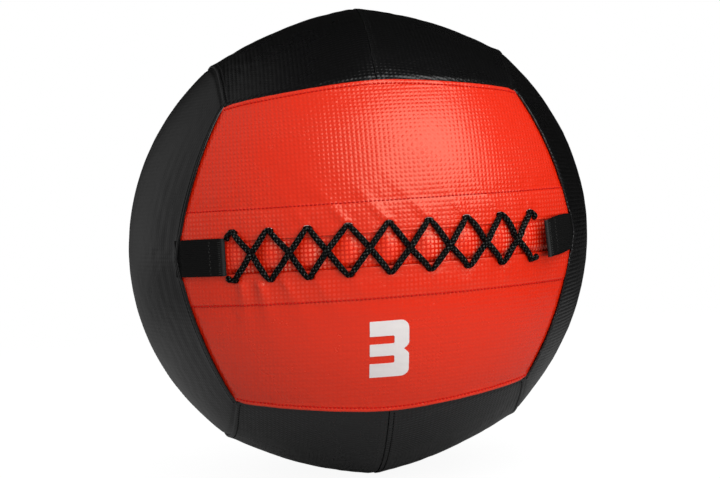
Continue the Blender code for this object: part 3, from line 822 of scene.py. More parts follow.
def drape(name, panel, edge):
    # The panel as loose cloth, sewn down at its edges and drawn inwards at its lace holes: how far
    # each point of a coarse grid settles above or below the plain surface
    at = cloth
    step = at["frontStep"] if panel.front else at["step"]
    columns = int(2 * frontReach / step)
    rows = int((radius * halfHeight - edge) / step)
    piece, column, row = newGrid(name + "_cloth", columns, rows)
    along = column / columns * 2 - 1
    height = panel.height(along)
    up = (edge + (height - edge) * row / rows) / height
    lon, lat = panel.spot(along, up)
    outward = panel.direction(lon, lat)
    rest = outward * panel.meanRadius(along, up, lon, lat)[:, None]
    start = rest.copy()
    held = (np.abs(along) > at["sewnFrom"]) | (row == rows)
    loose = np.zeros(len(row))
    if panel.front:
        x, y = radius * lon * np.cos(lat), radius * lat
        for hole in holeXs:
            away = np.hypot(x - hole, np.abs(y) - holes["row"])
            start[:, 2] -= at["pull"] * np.sign(y) * bell(away, at["pullReach"])
            held |= away < at["held"]
        held |= np.abs(np.abs(y) - edge - flap["hem"]) < at["hemHeld"]
        loose = nearness(np.abs(y) - edge - flap["hem"], at["looseReach"])
    else:
        held |= row == 0
    writePoints(piece, start)
    middle = piece.data.polygons[len(piece.data.polygons) // 2]
    way = 1 if middle.normal.dot(Vector(outward[middle.vertices[0]])) > 0 else -1
    points = settle(piece, rest, held, loose, way)
    rise = np.zeros((columns + 1, rows + 1))
    rise[column, row] = np.sum((points - rest) * outward, axis=1)
    print("  cloth", name, "from", round(rise.min() / mm, 2), "to", round(rise.max() / mm, 2), "mm")
    rise -= at["broadShare"] * blurred(rise, at["broad"])
    rise = at["most"] * np.tanh(rise / at["most"])
    return np.where(rise < 0, rise * at["leastShare"], rise)


def readDrape(rise, along, share):
    # The coarse grid's rise at any place, smoothed between its points
    columns, rows = rise.shape[0] - 1, rise.shape[1] - 1
    at = np.clip((along + 1) / 2, 0, 1) * columns, np.clip(share, 0, 1) * rows
    low = [np.minimum(place.astype(int), size - 1) for place, size in zip(at, (columns, rows))]
    u, v = smooth(at[0] - low[0]), smooth(at[1] - low[1])
    i, j = low
    near = rise[i, j] * (1 - u) + rise[i + 1, j] * u
    far = rise[i, j + 1] * (1 - u) + rise[i + 1, j + 1] * u
    return near * (1 - v) + far * v


def panelGrid(name, panel):
    # The grid's points at their places, by distance from the edges
    at = sewing
    stops = np.array(at["stops"]) * mm
    step = at["frontStep"] if panel.front else at["step"]
    start = flapEdge(panel.upward) if panel.front else at["seamGap"]
    first = start + (np.array(flap["stops"]) * mm if panel.front else stops)
    columns = 2 * (len(stops) - 1) + ceil((2 * frontReach - 2 * stops[-1]) / step)
    rows = len(stops) + len(first) - 2 + ceil((radius * halfHeight - stops[-1] - first[-1]) / step)
    piece, column, row = newGrid(name + "_vinyl", columns, rows)
    rough = spread(row, rows, first, stops, radius * halfHeight) / (radius * halfHeight)
    reach = panel.reach(rough)
    fromEnd = spread(column, columns, stops, stops, 2 * reach)
    toShort = np.minimum(fromEnd, 2 * reach - fromEnd)
    along = fromEnd / reach - 1
    height = panel.height(along)
    fromSeam = spread(row, rows, first, stops, height)
    toLong = height - fromSeam
    under = np.clip(1 - toShort / at["tuckWidth"], 0, 1) * smooth(toLong / at["tuckWidth"])
    along += np.sign(along) * at["tuckUnder"] * under / reach
    up = fromSeam / height
    lon, lat = panel.spot(along, up)
    outward = panel.direction(lon, lat)
    x, y = radius * lon * np.cos(lat), radius * lat
    toSeam = fromSeam - start if panel.front else fromSeam
    lift = seamLift(panel, outward * radius, toLong, toShort, toSeam)
    rise = readDrape(drape(name, panel, start), along, (fromSeam - start) / (height - start))
    if panel.front:
        laced = nearness(np.abs(y) - holes["row"] - cloth["laceFrom"], cloth["laceFade"])
        rise *= 1 - (1 - cloth["underLace"]) * laced
    lift += rise * smooth(np.minimum(toLong, toShort) / cloth["edgeFade"])
    if panel.front:
        lift += hemLift(panel.upward, x, y, toSeam)
    elif name in ("left_front_panel", "right_front_panel"):
        overTab = nearness(np.abs(outward[:, 2]) * radius - at["tabHalf"], at["tabFade"])
        lift += at["tabRise"] * overTab * nearness(toLong, at["tabReach"])
    reachOut = panel.meanRadius(along, up, lon, lat) + lift
    writePoints(piece, setDown(outward * reachOut[:, None]))
    writeUv(piece, x, y)
    wear = np.exp(-toLong / at["wearReach"])
    if panel.over or panel.front:
        wear = np.maximum(wear, at["seamWear"] * np.exp(-toSeam / at["wearReach"]))
    writeShare(piece, "edge", wear)
    writeShare(piece, "raised", np.full(len(row), raisedShare.get(name, weave["plainRaised"])))
    # Painted glints on a front panel: all over the flap, hardly any beyond its hem
    if panel.front:
        plain = smooth((toSeam - flap["hem"]) / flap["smoothFrom"])
        writeShare(piece, "rubbed", 1 - (1 - flap["glintPaintBeyond"]) * plain)
    middle = piece.data.polygons[len(piece.data.polygons) // 2]
    if middle.normal.dot(Vector(panel.direction(0, halfHeight / 2))) < 0:
        with editing(piece):
            bpy.ops.mesh.flip_normals()
    return piece


def cutHoles(piece, upward):
    # One oval cutter per lace hole; the cut shows the vinyl's white backing
    cutters = []
    size = Matrix.Diagonal((holes["halfWidth"], holes["halfHeight"], holes["cutDepth"], 1))
    for x in holeXs:
        middle = onFront(x, upward * holes["row"], 0)
        outward = Vector(onFront(x, upward * holes["row"], mm) - middle).normalized()
        selectOnly()
        bpy.ops.mesh.primitive_cylinder_add(vertices=holes["sides"], radius=1, depth=1)
        cutter = bpy.context.object
        cutter.data.transform(size)
        turn = outward.to_track_quat("Z", "Y").to_matrix().to_4x4()
        cutter.data.transform(Matrix.Translation(Vector(middle)) @ turn)
        cutters.append(cutter)
    cutter = joinPieces(cutters, "cutter")
    cutter.data.materials.append(finishes["scrim"])
    useModifier(piece, "BOOLEAN", operation="DIFFERENCE", object=cutter, solver="EXACT",
                material_mode="TRANSFER")
    bpy.data.objects.remove(cutter)


def makePanels():
    made = {}
    for name, panel in panels.items():
        piece = panelGrid(name, panel)
        useModifier(piece, "SOLIDIFY", thickness=sewing["thickness"], offset=-1,
                    use_even_offset=True, thickness_clamp=1.0)
        piece.data.shade_smooth()
        colour = "red" if panel.front else "black"
        piece.data.materials.append(finishes[colour + " vinyl"])
        if panel.front:
            cutHoles(piece, panel.upward)
        dress(piece, colour + "_vinyl", "ball", None, name)
        made[name] = piece
    return made


shell = makePanels()
print("panels sewn:", len(shell))


# Stitches: one thread capsule copied along the sewn lines

stitch = {
    "pitch": 2.75 * mm, "length": 2.2 * mm, "width": 1.0 * mm, "dip": 0.22 * mm, "lean": 0.07,
    "sides": 6, "rings": 5, "blunt": 0.7,
    "sunk": {"red": 0.12 * mm, "black": 0.5 * mm}, "castFrom": 12 * mm, "castReach": 30 * mm,
}


def stitchShape(length, width):
    selectOnly()
    bpy.ops.mesh.primitive_uv_sphere_add(segments=stitch["sides"], ring_count=stitch["rings"],
                                         radius=0.5)
    shape = bpy.context.object
    at = readPoints(shape)[:, [2, 0, 1]]
    at[:, 0] = np.sign(at[:, 0]) * np.abs(at[:, 0] * 2) ** stitch["blunt"] / 2
    at *= (length, width, width)
    at[:, 2] -= stitch["dip"] * (2 * at[:, 0] / length) ** 2     # its ends go down into the vinyl
    faces = [tuple(face.vertices) for face in shape.data.polygons]
    bpy.data.objects.remove(shape)
    return at, faces


def copyStitch(shape, places, aheads, sides, normals):
    # One copy of the thread at each place, joined in one list of points and faces
    points, allFaces = [], []
    at, faces = shape
    for i, (place, ahead, side, normal) in enumerate(zip(places, aheads, sides, normals)):
        points.append(place + at[:, :1] * ahead + at[:, 1:2] * side + at[:, 2:] * normal)
        allFaces += [tuple(i * len(at) + corner for corner in face) for face in faces]
    return np.vstack(points), allFaces


threadShape = stitchShape(stitch["length"], stitch["width"])


def surfaceOf(piece):
    return BVHTree.FromObject(piece, bpy.context.evaluated_depsgraph_get())


def castOnto(tree, points):
    # Where each point lies on a piece, seen from the ball's middle, and the surface's normal there
    middle = Vector((0, 0, radius))
    places, normals = [], []
    for point in points:
        outward = (Vector(point) - middle).normalized()
        above = Vector(point) + outward * stitch["castFrom"]
        hit = tree.ray_cast(above, -outward, stitch["castReach"])
        places.append(hit[0] if hit[0] else Vector(point))
        normals.append(hit[1] if hit[0] else outward)
    return np.array(places), np.array(normals)


def evenSteps(line, pitch):
    run = runAlong(line)
    count = max(2, int(run[-1] / pitch))
    return pointsAt((np.arange(count) + 0.5) * run[-1] / count, run, line)


def sewLine(tree, line, sunk):
    # The stitches' points along one line on a piece
    at = evenSteps(line, stitch["pitch"])
    places, normals = castOnto(tree, at)
    tangents = unit(np.gradient(places, axis=0))
    normals = unit(normals - np.sum(normals * tangents, axis=1, keepdims=True) * tangents)
    sides = np.cross(normals, tangents)
    lean = np.random.default_rng(len(at)).normal(0, stitch["lean"], (len(at), 1))
    places = places + normals * (stitch["width"] / 2 - sunk)
    aheads, sides = tangents + lean * sides, sides - lean * tangents
    return copyStitch(threadShape, places, aheads, sides, normals)


def panelLine(panel, edge, distance):
    # A line at one distance from the long edge, or from the middle seam
    along = np.linspace(-sewing["stitchEnd"], sewing["stitchEnd"], sewing["linePoints"])
    height = panel.height(along)
    up = 1 - distance / height if edge == "long" else distance / height
    lon, lat = panel.spot(along, up)
    return setDown(panel.direction(lon, lat) * seamRadius)


def hemLine(upward):
    reach = frontReach - sewing["hemEnd"]
    x = np.linspace(-reach, reach, sewing["linePoints"])
    return onFront(x, upward * (flapEdge(upward) + flap["hem"]), 0)


def threadPiece(name, points, faces):
    mesh = bpy.data.meshes.new(name)
    mesh.from_pydata(points, [], faces)
    mesh.shade_smooth()
    return addObject(name, mesh)


def sewPanels():
    for name, panel in panels.items():
        lines = [panelLine(panel, "long", sewing["lapStitch"])]
        if panel.over:
            lines.append(panelLine(panel, "seam", sewing["seamStitch"]))
        if panel.front:
            lines.append(hemLine(panel.upward))
        tree = surfaceOf(shell[name])
        colour = "red" if panel.front else "black"
        points, faces = [], []
        for line in lines:
            linePoints, lineFaces = sewLine(tree, line, stitch["sunk"][colour])
            start = sum(len(group) for group in points)
            faces += [tuple(start + i for i in face) for face in lineFaces]
            points.append(linePoints)
        piece = threadPiece(name + "_stitches", np.vstack(points), faces)
        dress(piece, colour + "_thread", "ball", finishes[colour + " thread"])


sewPanels()
print("stitches sewn")


# Tongue behind the lacing

tongue = {
    "thickness": 0.9 * mm, "top": -0.75 * mm,
    "halfLength": frontReach - 8.8 * mm, "halfWidth": 32 * mm, "lacedFade": 5 * mm,
    "low": 1.6 * mm, "lowWidth": 13 * mm, "bulge": 1.5 * mm, "bulgeWidth": 8 * mm,
    "gap": 1.6 * mm, "gapWidth": 2.0 * mm, "rough": 0.25 * mm, "roughSize": 9 * mm, "roughSeed": 21,
    "dent": 4.9 * mm, "dentX": 4.5 * mm, "dentY": 4.0 * mm, "columns": 230, "rows": 52,
    "glintPaintLeast": 0.25, "glintPaintFrom": 0.12, "glintPaintWidth": 0.3, "fill": 0.5,
    "seenFrom": (0, -0.4, 0.17), "seenAlong": (0, 1, 0),
}


def makeTongue():
    # Bulges in each diamond, sinks below the crossings, and is dented where the cord turns
    # below a hem
    at = tongue
    piece, column, row = newGrid("lace_tongue_vinyl", at["columns"], at["rows"])
    x = (column / at["columns"] * 2 - 1) * at["halfLength"]
    y = (row / at["rows"] * 2 - 1) * at["halfWidth"]
    out = np.abs(y)
    wave = 0.5 - 0.5 * np.cos(2 * pi * x / holes["pitch"])
    laced = nearness(np.abs(x) - holeXs[-1], at["lacedFade"])
    lift = at["top"] - at["low"] * wave * laced * nearness(out, at["lowWidth"])
    bulged = (1 - wave * laced) * (0.5 + 0.5 * laced)
    lift += at["bulge"] * bulged * bell(out, at["bulgeWidth"])
    nearest = np.min(np.abs(x[:, None] - holeXs), axis=1)
    lift -= at["dent"] * bell(nearest, at["dentX"]) * bell(out - holes["row"], at["dentY"])
    lift -= at["gap"] * bell(y + flap["lowerEdge"], at["gapWidth"])
    lift += at["rough"] * ripple(np.column_stack((x, y, 0 * x)), at["roughSize"], at["roughSeed"])
    writePoints(piece, onFront(x, y, lift))
    writeUv(piece, x, y)
    writeShare(piece, "edge", 0 * x)
    writeShare(piece, "raised", 0 * x + 1)
    # Painted glints: most on the right side of each diamond, the side towards the lamp, and a
    # little everywhere
    across = (x / holes["pitch"] + 0.5) % 1 - 0.5
    rubbed = smooth((across * laced + at["glintPaintFrom"]) / at["glintPaintWidth"])
    writeShare(piece, "rubbed", at["glintPaintLeast"] + (1 - at["glintPaintLeast"]) * rubbed)
    useModifier(piece, "SOLIDIFY", thickness=at["thickness"], offset=-1, use_even_offset=True)
    if surfaceOf(piece).ray_cast(Vector(at["seenFrom"]), Vector(at["seenAlong"]))[1].y > 0:
        piece.data.flip_normals()
    piece.data.shade_smooth()
    dress(piece, "tongue_vinyl", "ball", finishes["tongue vinyl"], "lace_tongue")


makeTongue()
print("tongue laid")


# Lace: one braided cord, the same way through the holes as in the solid

# A bight's rows are the share of the legs' half width, the share of the dive and the height. A
# tuck's rows are mm out past the hole, mm above the flap's edge and mm off the surface.
lace = {
    "diameter": 4.3 * mm, "legHalf": 0.95 * mm, "around": 32, "step": 0.49 * mm,
    "onFlap": 2.2 * mm, "below": -4.2 * mm, "under": -0.3 * mm, "over": 4.1 * mm,
    "astray": 0.38 * mm, "seed": 8, "bow": 0.45 * mm, "bowAlong": 31, "bowUp": 7,
    "shares": ((0.08, 0), (0.31, 0.3), (0.50, 1), (0.69, 0.3), (0.92, 0)),
    "squeeze": 0.33, "squeezeReach": 3.2 * mm, "dive": 0.5 * mm,
    "bight": ((1.15, 0, 1.5 * mm), (1, 1, 0), (1, 1, -1.6 * mm), (0.75, 1, -2.9 * mm)),
    "curveStep": 0.04, "firstSide": (0.3, -1, 0.2),
    "carriers": 4, "lead": 11.5 * mm, "relief": 0.24 * mm, "crown": 0.3,
    "tuck": {
        1: ((2.3, 4.4, 2.1), (3.4, 3.3, 1.8), (4.4, 2.5, 0.4), (4.7, 2.3, -1.8), (4.8, 2.2, -3.6),
            (6.5, 1.0, -4.9), (11.0, -1.5, -5.0)),
        -1: ((2.5, 3.4, 2.0), (3.7, 2.8, 1.8), (4.7, 2.4, 0.4), (5.0, 2.3, -1.8), (5.1, 2.2, -3.6),
             (6.8, 1.0, -4.9), (11.0, -1.5, -5.0)),
    },
    "dark": grey(0.0005), "light": grey(0.002), "cordGlint": rgb(0.15, 0.165, 0.155),
    "ply": 0.30 * mm, "plyShare": 0.4, "strand": 1.1 * mm, "strandsRound": 34,
    "fibreNoise": (1700, 2.0, 0.65), "strandNoise": (1.0, 1.0), "lightRange": (0.35, 0.7),
    "crownGlint": 0.55, "strandGlint": 0.6, "cordGlintRange": (0.76, 0.94), "cordGlintMost": 0.85,
    "roughness": 0.60, "fibreMatt": 0.15, "depth": 0.05 * mm, "specular": 0.09,
}


def bight(x, y, way):
    # Down into a hole, round below the hem and up again, going along x
    half, dive = way * lace["legHalf"], lace["dive"] * np.sign(y)
    route = [(x - half * share, y + dive * deep, lift) for share, deep, lift in lace["bight"]]
    back = [(2 * x - place, up, lift) for place, up, lift in route[::-1]]
    return route + [(x, y + dive, lace["below"])] + back


def crossing(start, end, way, over):
    # From one hole to the next, over or under the other strand, and bowed a little to one side
    middle = lace["over"] if over else lace["under"]
    first, last = start[0] + way * lace["legHalf"], end[0] - way * lace["legHalf"]
    phase = lace["bowAlong"] * start[0] / holes["pitch"] + lace["bowUp"] * end[1] / mm
    route = []
    for share, level in lace["shares"]:
        bow = lace["bow"] * sin(pi * share) * sin(phase)
        x = first + (last - first) * share + bow
        y = start[1] + (end[1] - start[1]) * share + bow * way * np.sign(start[1])
        route.append((x, y, lace["onFlap"] + (middle - lace["onFlap"]) * level))
    return route


def tucked(x, signX, signY):
    # From an end hole across the flap's edge and down into the closure, below the tab
    return [(x + signX * out * mm, signY * (flapEdge(signY) + up * mm), lift * mm)
            for out, up, lift in lace["tuck"][signY]]


def laceRoute():
    draws = np.random.default_rng(lace["seed"])
    stray = draws.uniform(-1, 1, (2, len(holeXs), 2)) * lace["astray"]
    upper = [(x + dx, holes["row"] + dy) for x, (dx, dy) in zip(holeXs, stray[0])]
    lower = [(x + dx, -holes["row"] + dy) for x, (dx, dy) in zip(holeXs, stray[1])]
    last = len(holeXs) - 1
    leftward = [upper[i] if i % 2 == 0 else lower[i] for i in range(last, -1, -1)]
    rightward = [lower[i] if i % 2 == 0 else upper[i] for i in range(last + 1)]
    route = tucked(upper[last][0], 1, 1)[::-1]
    for way, turns in ((-1, leftward), (1, rightward)):
        for i, hole in enumerate(turns):
            route += bight(*hole, way)
            if i < last:
                route += crossing(hole, turns[i + 1], way, i % 2 == 0)
        if way < 0:
            route += tucked(upper[0][0], -1, 1) + tucked(lower[0][0], -1, -1)[::-1]
    return np.array(route + tucked(lower[last][0], 1, -1))


def smoothLine(points, step):
    # A curve through the points, in even steps
    gaps = np.linalg.norm(np.diff(points, axis=0), axis=1)
    slopes = np.diff(points, axis=0) / gaps[:, None]
    before, after = gaps[:-1, None], gaps[1:, None]
    inner = (slopes[:-1] * after + slopes[1:] * before) / (before + after)
    slopes = np.vstack((slopes[:1], inner, slopes[-1:]))
    t = np.arange(0, 1, lace["curveStep"])[:, None]
    gone = 3 * t ** 2 - 2 * t ** 3
    leaving, arriving = t ** 3 - 2 * t ** 2 + t, t ** 3 - t ** 2
    line = []
    for i, gap in enumerate(gaps):
        turn = leaving * gap * slopes[i] + arriving * gap * slopes[i + 1]
        line.append((1 - gone) * points[i] + gone * points[i + 1] + turn)
    line = np.vstack(line + [points[-1:]])
    run = runAlong(line)
    return pointsAt(np.linspace(0, run[-1], int(run[-1] / step)), run, line)


def carriedFrame(line, start):
    # Two directions across the line at each point, turned as little as possible along it
    tangents = unit(np.gradient(line, axis=0))
    side = np.array(start, dtype=float)
    sides = []
    for tangent in tangents:
        side = side - (side @ tangent) * tangent
        side /= np.linalg.norm(side)
        sides.append(side)
    sides = np.array(sides)
    return sides, np.cross(tangents, sides)


def braidHeight(run, turn):
    # Carriers wound both ways, over one and under one; turn goes once round the cord from 0 to 1
    first = lace["carriers"] * (turn + run / lace["lead"])
    second = lace["carriers"] * (turn - run / lace["lead"])
    a, b = np.sin(pi * first), np.sin(pi * second)
    overA = np.abs(a) + lace["crown"] * np.sign(a) * b
    overB = np.abs(b) - lace["crown"] * np.sign(b) * a
    return np.maximum(overA, overB) / (1 + lace["crown"])


def cordFinish():
    material, look = newLook("braided cord")
    along, turn = look.flatPlace()
    fibres = look.noise(look.objectPlace(), *lace["fibreNoise"])
    streaks = (along / lace["strand"], turn * lace["strandsRound"], 0.0)
    strands = look.noise(look.node("CombineXYZ", streaks), *lace["strandNoise"])
    # Painted glints: pale flecks on the crowns of the braid and along streaks of its strands
    pale = look.share("crown") * lace["crownGlint"] + strands * lace["strandGlint"]
    pale = look.between(pale, *lace["cordGlintRange"]) * lace["cordGlintMost"]
    colour = look.blend(look.between(fibres, *lace["lightRange"]), lace["dark"], lace["light"])
    colour = look.blend(pale, colour, lace["cordGlint"])
    ply = ((along * 2 * pi / lace["ply"]).math("SINE") + 1) * 0.5
    height = ply * lace["plyShare"] + fibres
    look.surface(colour, lace["roughness"] + fibres * lace["fibreMatt"], height, lace["depth"],
                 Specular_IOR_Level=lace["specular"])
    return material


def makeLace():
    at = lace
    flat = smoothLine(laceRoute(), at["step"])
    line = onFront(flat[:, 0], flat[:, 1], flat[:, 2])
    run = runAlong(line)
    columns, rows = len(line) - 1, at["around"]
    piece, column, row = newGrid("lace_cord", columns, rows)
    sides, others = carriedFrame(line, at["firstSide"])
    share = row / rows
    height = braidHeight(run[column], share)
    toHole = np.min(np.abs(flat[:, :1] - holeXs), axis=1)
    toHole = np.hypot(toHole, np.abs(flat[:, 1]) - holes["row"])
    squeezed = 1 - at["squeeze"] * bell(toHole, at["squeezeReach"])
    reach = (at["diameter"] / 2 - at["relief"] * (1 - height)) * squeezed[column]
    angle = 2 * pi * share
    offset = np.cos(angle)[:, None] * sides[column] + np.sin(angle)[:, None] * others[column]
    writePoints(piece, line[column] + reach[:, None] * offset)
    writeUv(piece, run[column], share)
    writeShare(piece, "crown", height)
    with editing(piece):
        bpy.ops.mesh.remove_doubles(threshold=touching)
        bpy.ops.mesh.fill_holes(sides=0)
        bpy.ops.mesh.select_all(action="SELECT")
        bpy.ops.mesh.normals_make_consistent(inside=False)
    piece.data.shade_smooth()
    dress(piece, "cord", "ball", cordFinish(), "lace")
    print("lace", round(run[-1], 3), "m long")


makeLace()


# White backing that shows at the rim of the upper holes

fray = {
    "thickness": 0.24 * mm, "lift": 0.35 * mm, "inset": 0.1 * mm, "flattened": 0.6,
    "tube": 0.1, "segments": 40, "sides": 6, "cutLeast": 0.93, "cutMore": 0.35,
    "rough": 0.5, "roughRound": 3, "roughApart": 900, "roughSize": 0.4, "roughSeed": 5,
    "shown": [0.5, 1, 0.5, 1, 0.6, 1, 1, 0.5, 1],
}


def makeScrim():
    # A rough arc of a ring over the top of each hole, longer where more is shown
    at = fray
    rims = []
    for x, shown in zip(holeXs, at["shown"]):
        selectOnly()
        bpy.ops.mesh.primitive_torus_add(major_radius=1, minor_radius=at["tube"],
                                         major_segments=at["segments"], minor_segments=at["sides"])
        rim = bpy.context.object
        cut = (0, at["cutLeast"] - at["cutMore"] * shown, 0)
        with editing(rim):
            bpy.ops.mesh.bisect(plane_co=cut, plane_no=(0, 1, 0), clear_inner=True, use_fill=True)
        points = readPoints(rim)
        ring = np.hypot(points[:, 0], points[:, 1])
        outward, lift = (ring - 1) / at["tube"], points[:, 2] / at["tube"]
        apart = points * at["roughRound"] + (x * at["roughApart"], 0, 0)
        rough = 1 + at["rough"] * ripple(apart, at["roughSize"], at["roughSeed"])
        thick = at["thickness"] * rough * (0.5 + 0.5 * shown)
        reach = holes["halfHeight"] - at["inset"]
        flatX = points[:, 0] / ring * holes["halfWidth"] + outward * thick * points[:, 0]
        flatY = points[:, 1] / ring * reach + outward * thick * points[:, 1]
        height = at["lift"] + lift * thick * at["flattened"]
        writePoints(rim, onFront(x + flatX, holes["row"] + flatY, height))
        rims.append(rim)
    piece = joinPieces(rims, "scrim_rims")
    piece.data.shade_smooth()
    dress(piece, "scrim", "ball", finishes["scrim"])


makeScrim()
print("scrim frayed")


# Webbing tabs, folded in two and sewn in below the side panels

tab = {
    "width": 25 * mm, "length": 36.3 * mm, "setback": 5 * mm, "under": 2.5 * mm,
    "thickness": 1.1 * mm, "clear": 0.35 * mm, "leafGap": 0.3 * mm,
    "pinchFrom": 4 * mm, "pinchOver": 6 * mm, "pinchDrop": 0.9 * mm, "pinchShare": 0.45,
    "betweenLeaves": 1.4, "riseCurve": 1.2, "dropCurve": 1.4, "probe": 0.1 * mm,
    "across": 20, "stepsAlong": 40, "stepsFold": 10, "sewnHalf": 11.2 * mm, "threadWidth": 0.5 * mm,
    "rungFrom": 2.7 * mm, "rungLength": 2.4 * mm, "rungPitch": 1.4 * mm,
    "dotFrom": 10.5 * mm, "dotLength": 1.5 * mm, "dotPitch": 2.1 * mm, "dotShift": 0.3 * mm,
    "foldPaleWidth": 0.9 * mm, "bevel": 0.3 * mm, "bevelAngle": 50, "threadLift": 0.1 * mm,
    "blendFrom": 2 * mm, "blendTo": 9 * mm, "blendLift": 2 * mm,
    "rib": 1.3 * mm, "pick": 0.9 * mm, "dark": grey(0.0022), "light": rgb(0.0066, 0.0066, 0.0064),
    "edgePale": grey(0.05), "foldPaleMost": 0.5, "fibreNoise": (1900, 2.0), "ribSheen": 0.6,
    "fibreLight": 0.3, "ribShare": 0.8, "pickShare": 0.4, "fibreShare": 0.3,
    "roughness": 0.55, "fibreMatt": 0.15, "depth": 0.18 * mm, "specular": 0.20,
}
tabBend = {
    "left_tab": {"sign": -1, "rise": 0, "twist": 0, "lean": 0, "drop": 0, "skew": 0.2 * mm},
    "right_tab": {"sign": 1, "rise": 7.4 * mm, "twist": 0.2, "lean": 0.03, "drop": 2.8 * mm,
                  "skew": 1.4 * mm},
}


def webbingFinish():
    at = tab
    material, look = newLook("black webbing")
    u, v = look.flatPlace()
    ribs = abs((v * pi / at["rib"]).math("SINE"))
    picks = abs((u * pi / at["pick"]).math("SINE"))
    fibres = look.noise(look.objectPlace(), *at["fibreNoise"])
    # Painted sheen: the crowns of the ribs lighter, with random fibre tone
    lit = ribs * at["ribSheen"] + fibres * at["fibreLight"]
    colour = look.blend(lit, at["dark"], at["light"])
    # Lighter along the fold
    colour = look.blend(look.share("edge") * at["foldPaleMost"], colour, at["edgePale"])
    height = ribs * at["ribShare"] + picks * ribs * at["pickShare"] + fibres * at["fibreShare"]
    look.surface(colour, at["roughness"] + fibres * at["fibreMatt"], height, at["depth"],
                 Specular_IOR_Level=at["specular"])
    return material


def tabPath():
    # Pairs of distance from the root and height above the surface, out along the lower leaf,
    # round the fold and back along the upper leaf
    at = tab
    low = at["clear"] + at["thickness"] / 2
    fold = at["thickness"] / 2 + at["leafGap"] / 2
    length = at["length"] + at["setback"] + at["under"]
    out = np.linspace(0, length, at["stepsAlong"])
    turn = np.linspace(0, pi, at["stepsFold"] + 2)[1:-1]
    path = np.vstack((
        np.column_stack((out, low + 0 * out)),
        np.column_stack((length + fold * np.sin(turn), low + fold * (1 - np.cos(turn)))),
        np.column_stack((out[::-1], low + 2 * fold + 0 * out)),
    ))
    pinch = nearness(path[:, 0] - at["pinchFrom"], at["pinchOver"])
    path[:, 1] -= pinch * (path[:, 1] * at["pinchShare"] + at["pinchDrop"])
    return path, length


def tabPlace(name, out, y, lift):
    # From the flat webbing, out from its root and y across it, to its place on the ball;
    # the two leaves lie a little askew
    at, bend = tab, tabBend[name]
    share = np.clip((out - at["under"] - at["setback"]) / at["length"], 0, None)
    side = lift / at["thickness"] - at["betweenLeaves"]
    askew = bend["skew"] * np.sin(pi * np.clip(share, 0, 1)) * side
    lift = lift + bend["rise"] * share ** at["riseCurve"] * (1 - bend["twist"] * y / at["width"])
    x = frontReach + at["under"] - out - bend["lean"] * y * share
    place = onFront(bend["sign"] * x, 0 * y, lift)
    place[..., 2] += y - bend["drop"] * share ** at["dropCurve"] + askew
    return place


def sewTab(name, length):
    # A ladder of short bars beside the fold and a row of stitches further in, on the upper leaf
    at = tab
    top = at["clear"] + 2 * at["thickness"] + at["leafGap"] + at["threadLift"]
    rungs = np.arange(-at["sewnHalf"], at["sewnHalf"], at["rungPitch"])
    dots = np.arange(-at["sewnHalf"], at["sewnHalf"], at["dotPitch"])
    shift = at["dotShift"] * (-1.0) ** np.arange(len(dots))
    rows = (
        (rungs, length - at["rungFrom"] + 0 * rungs, at["rungLength"], True),
        (dots, length - at["dotFrom"] + shift, at["dotLength"], False),
    )
    sewn = []
    for y, out, size, endways in rows:
        here = tabPlace(name, out, y, top)
        ahead = unit(tabPlace(name, out + at["probe"], y, top) - here)
        side = unit(tabPlace(name, out, y + at["probe"], top) - here)
        if not endways:
            ahead, side = side, ahead
        outward = np.cross(ahead, side)
        turn = np.sign(np.sum(outward * (here - (0, 0, centreHeight)), axis=1, keepdims=True))
        shape = stitchShape(size, at["threadWidth"])
        seam = copyStitch(shape, here, ahead, side * turn, outward * turn)
        sewn.append(threadPiece("thread", *seam))
        sewn[-1].data.materials.append(finishes["tab thread"])
    return sewn


def makeTab(name, tabFinish):
    at = tab
    path, length = tabPath()
    columns, rows = len(path) - 1, at["across"]
    piece, column, row = newGrid(name + "_webbing", columns, rows)
    out = path[column, 0]
    y = (row / rows - 0.5) * at["width"]
    writePoints(piece, tabPlace(name, out, y, path[column, 1]))
    writeUv(piece, runAlong(path)[column], y)
    writeShare(piece, "edge", bell(out - length, at["foldPaleWidth"]))
    with editing(piece):
        bpy.ops.mesh.normals_make_consistent(inside=False)
    useModifier(piece, "SOLIDIFY", thickness=at["thickness"], offset=0, use_even_offset=True)
    useModifier(piece, "BEVEL", width=at["bevel"], segments=2, limit_method="ANGLE",
                angle_limit=radians(at["bevelAngle"]))
    piece.data.shade_smooth()
    piece.data.materials.append(tabFinish)
    piece = joinPieces([*sewTab(name, length), piece], name + "_webbing")
    start, end = [onFront(tabBend[name]["sign"] * (frontReach - at[key]), 0, at["blendLift"])
                  for key in ("blendFrom", "blendTo")]
    dress(piece, "webbing", None, None, name)
    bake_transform(piece)


webbingBlack = webbingFinish()
for tabName in tabBend:
    makeTab(tabName, webbingBlack)
print("tabs folded")


# Weight numeral: a plain block figure in printed film, its outline in mm

numeral = {
    "width": 26.2, "height": 41.0, "bar": 10.5, "middleBar": 8.7, "stroke": 9.8, "corner": 5.5,
    "slotCorner": 1.2, "sharp": 0.35, "notch": 3.5, "shoulder": 3.2, "shoulderRadius": 3.5,
    "offset": -1.5, "drop": -69.2, "cell": 2.5, "lift": 0.06 * mm, "thickness": 0.22 * mm,
    "cornerSteps": 6,
}


def roundedOutline(corners, steps):
    # A closed outline through corners (x, y, radius), each rounded to its radius
    outline = []
    for i, (x, y, size) in enumerate(corners):
        here = np.array((x, y))
        back = unit(np.array(corners[i - 1][:2]) - here)
        ahead = unit(np.array(corners[(i + 1) % len(corners)][:2]) - here)
        half = np.arccos(np.clip(back @ ahead, -1, 1)) / 2
        reach = size / tan(half)
        middle = here + unit(back + ahead) * size / sin(half)
        first, last = here + back * reach - middle, here + ahead * reach - middle
        for share in np.linspace(0, 1, steps):
            spoke = first * (1 - share) + last * share
            outline.append(middle + unit(spoke) * size)
    return outline


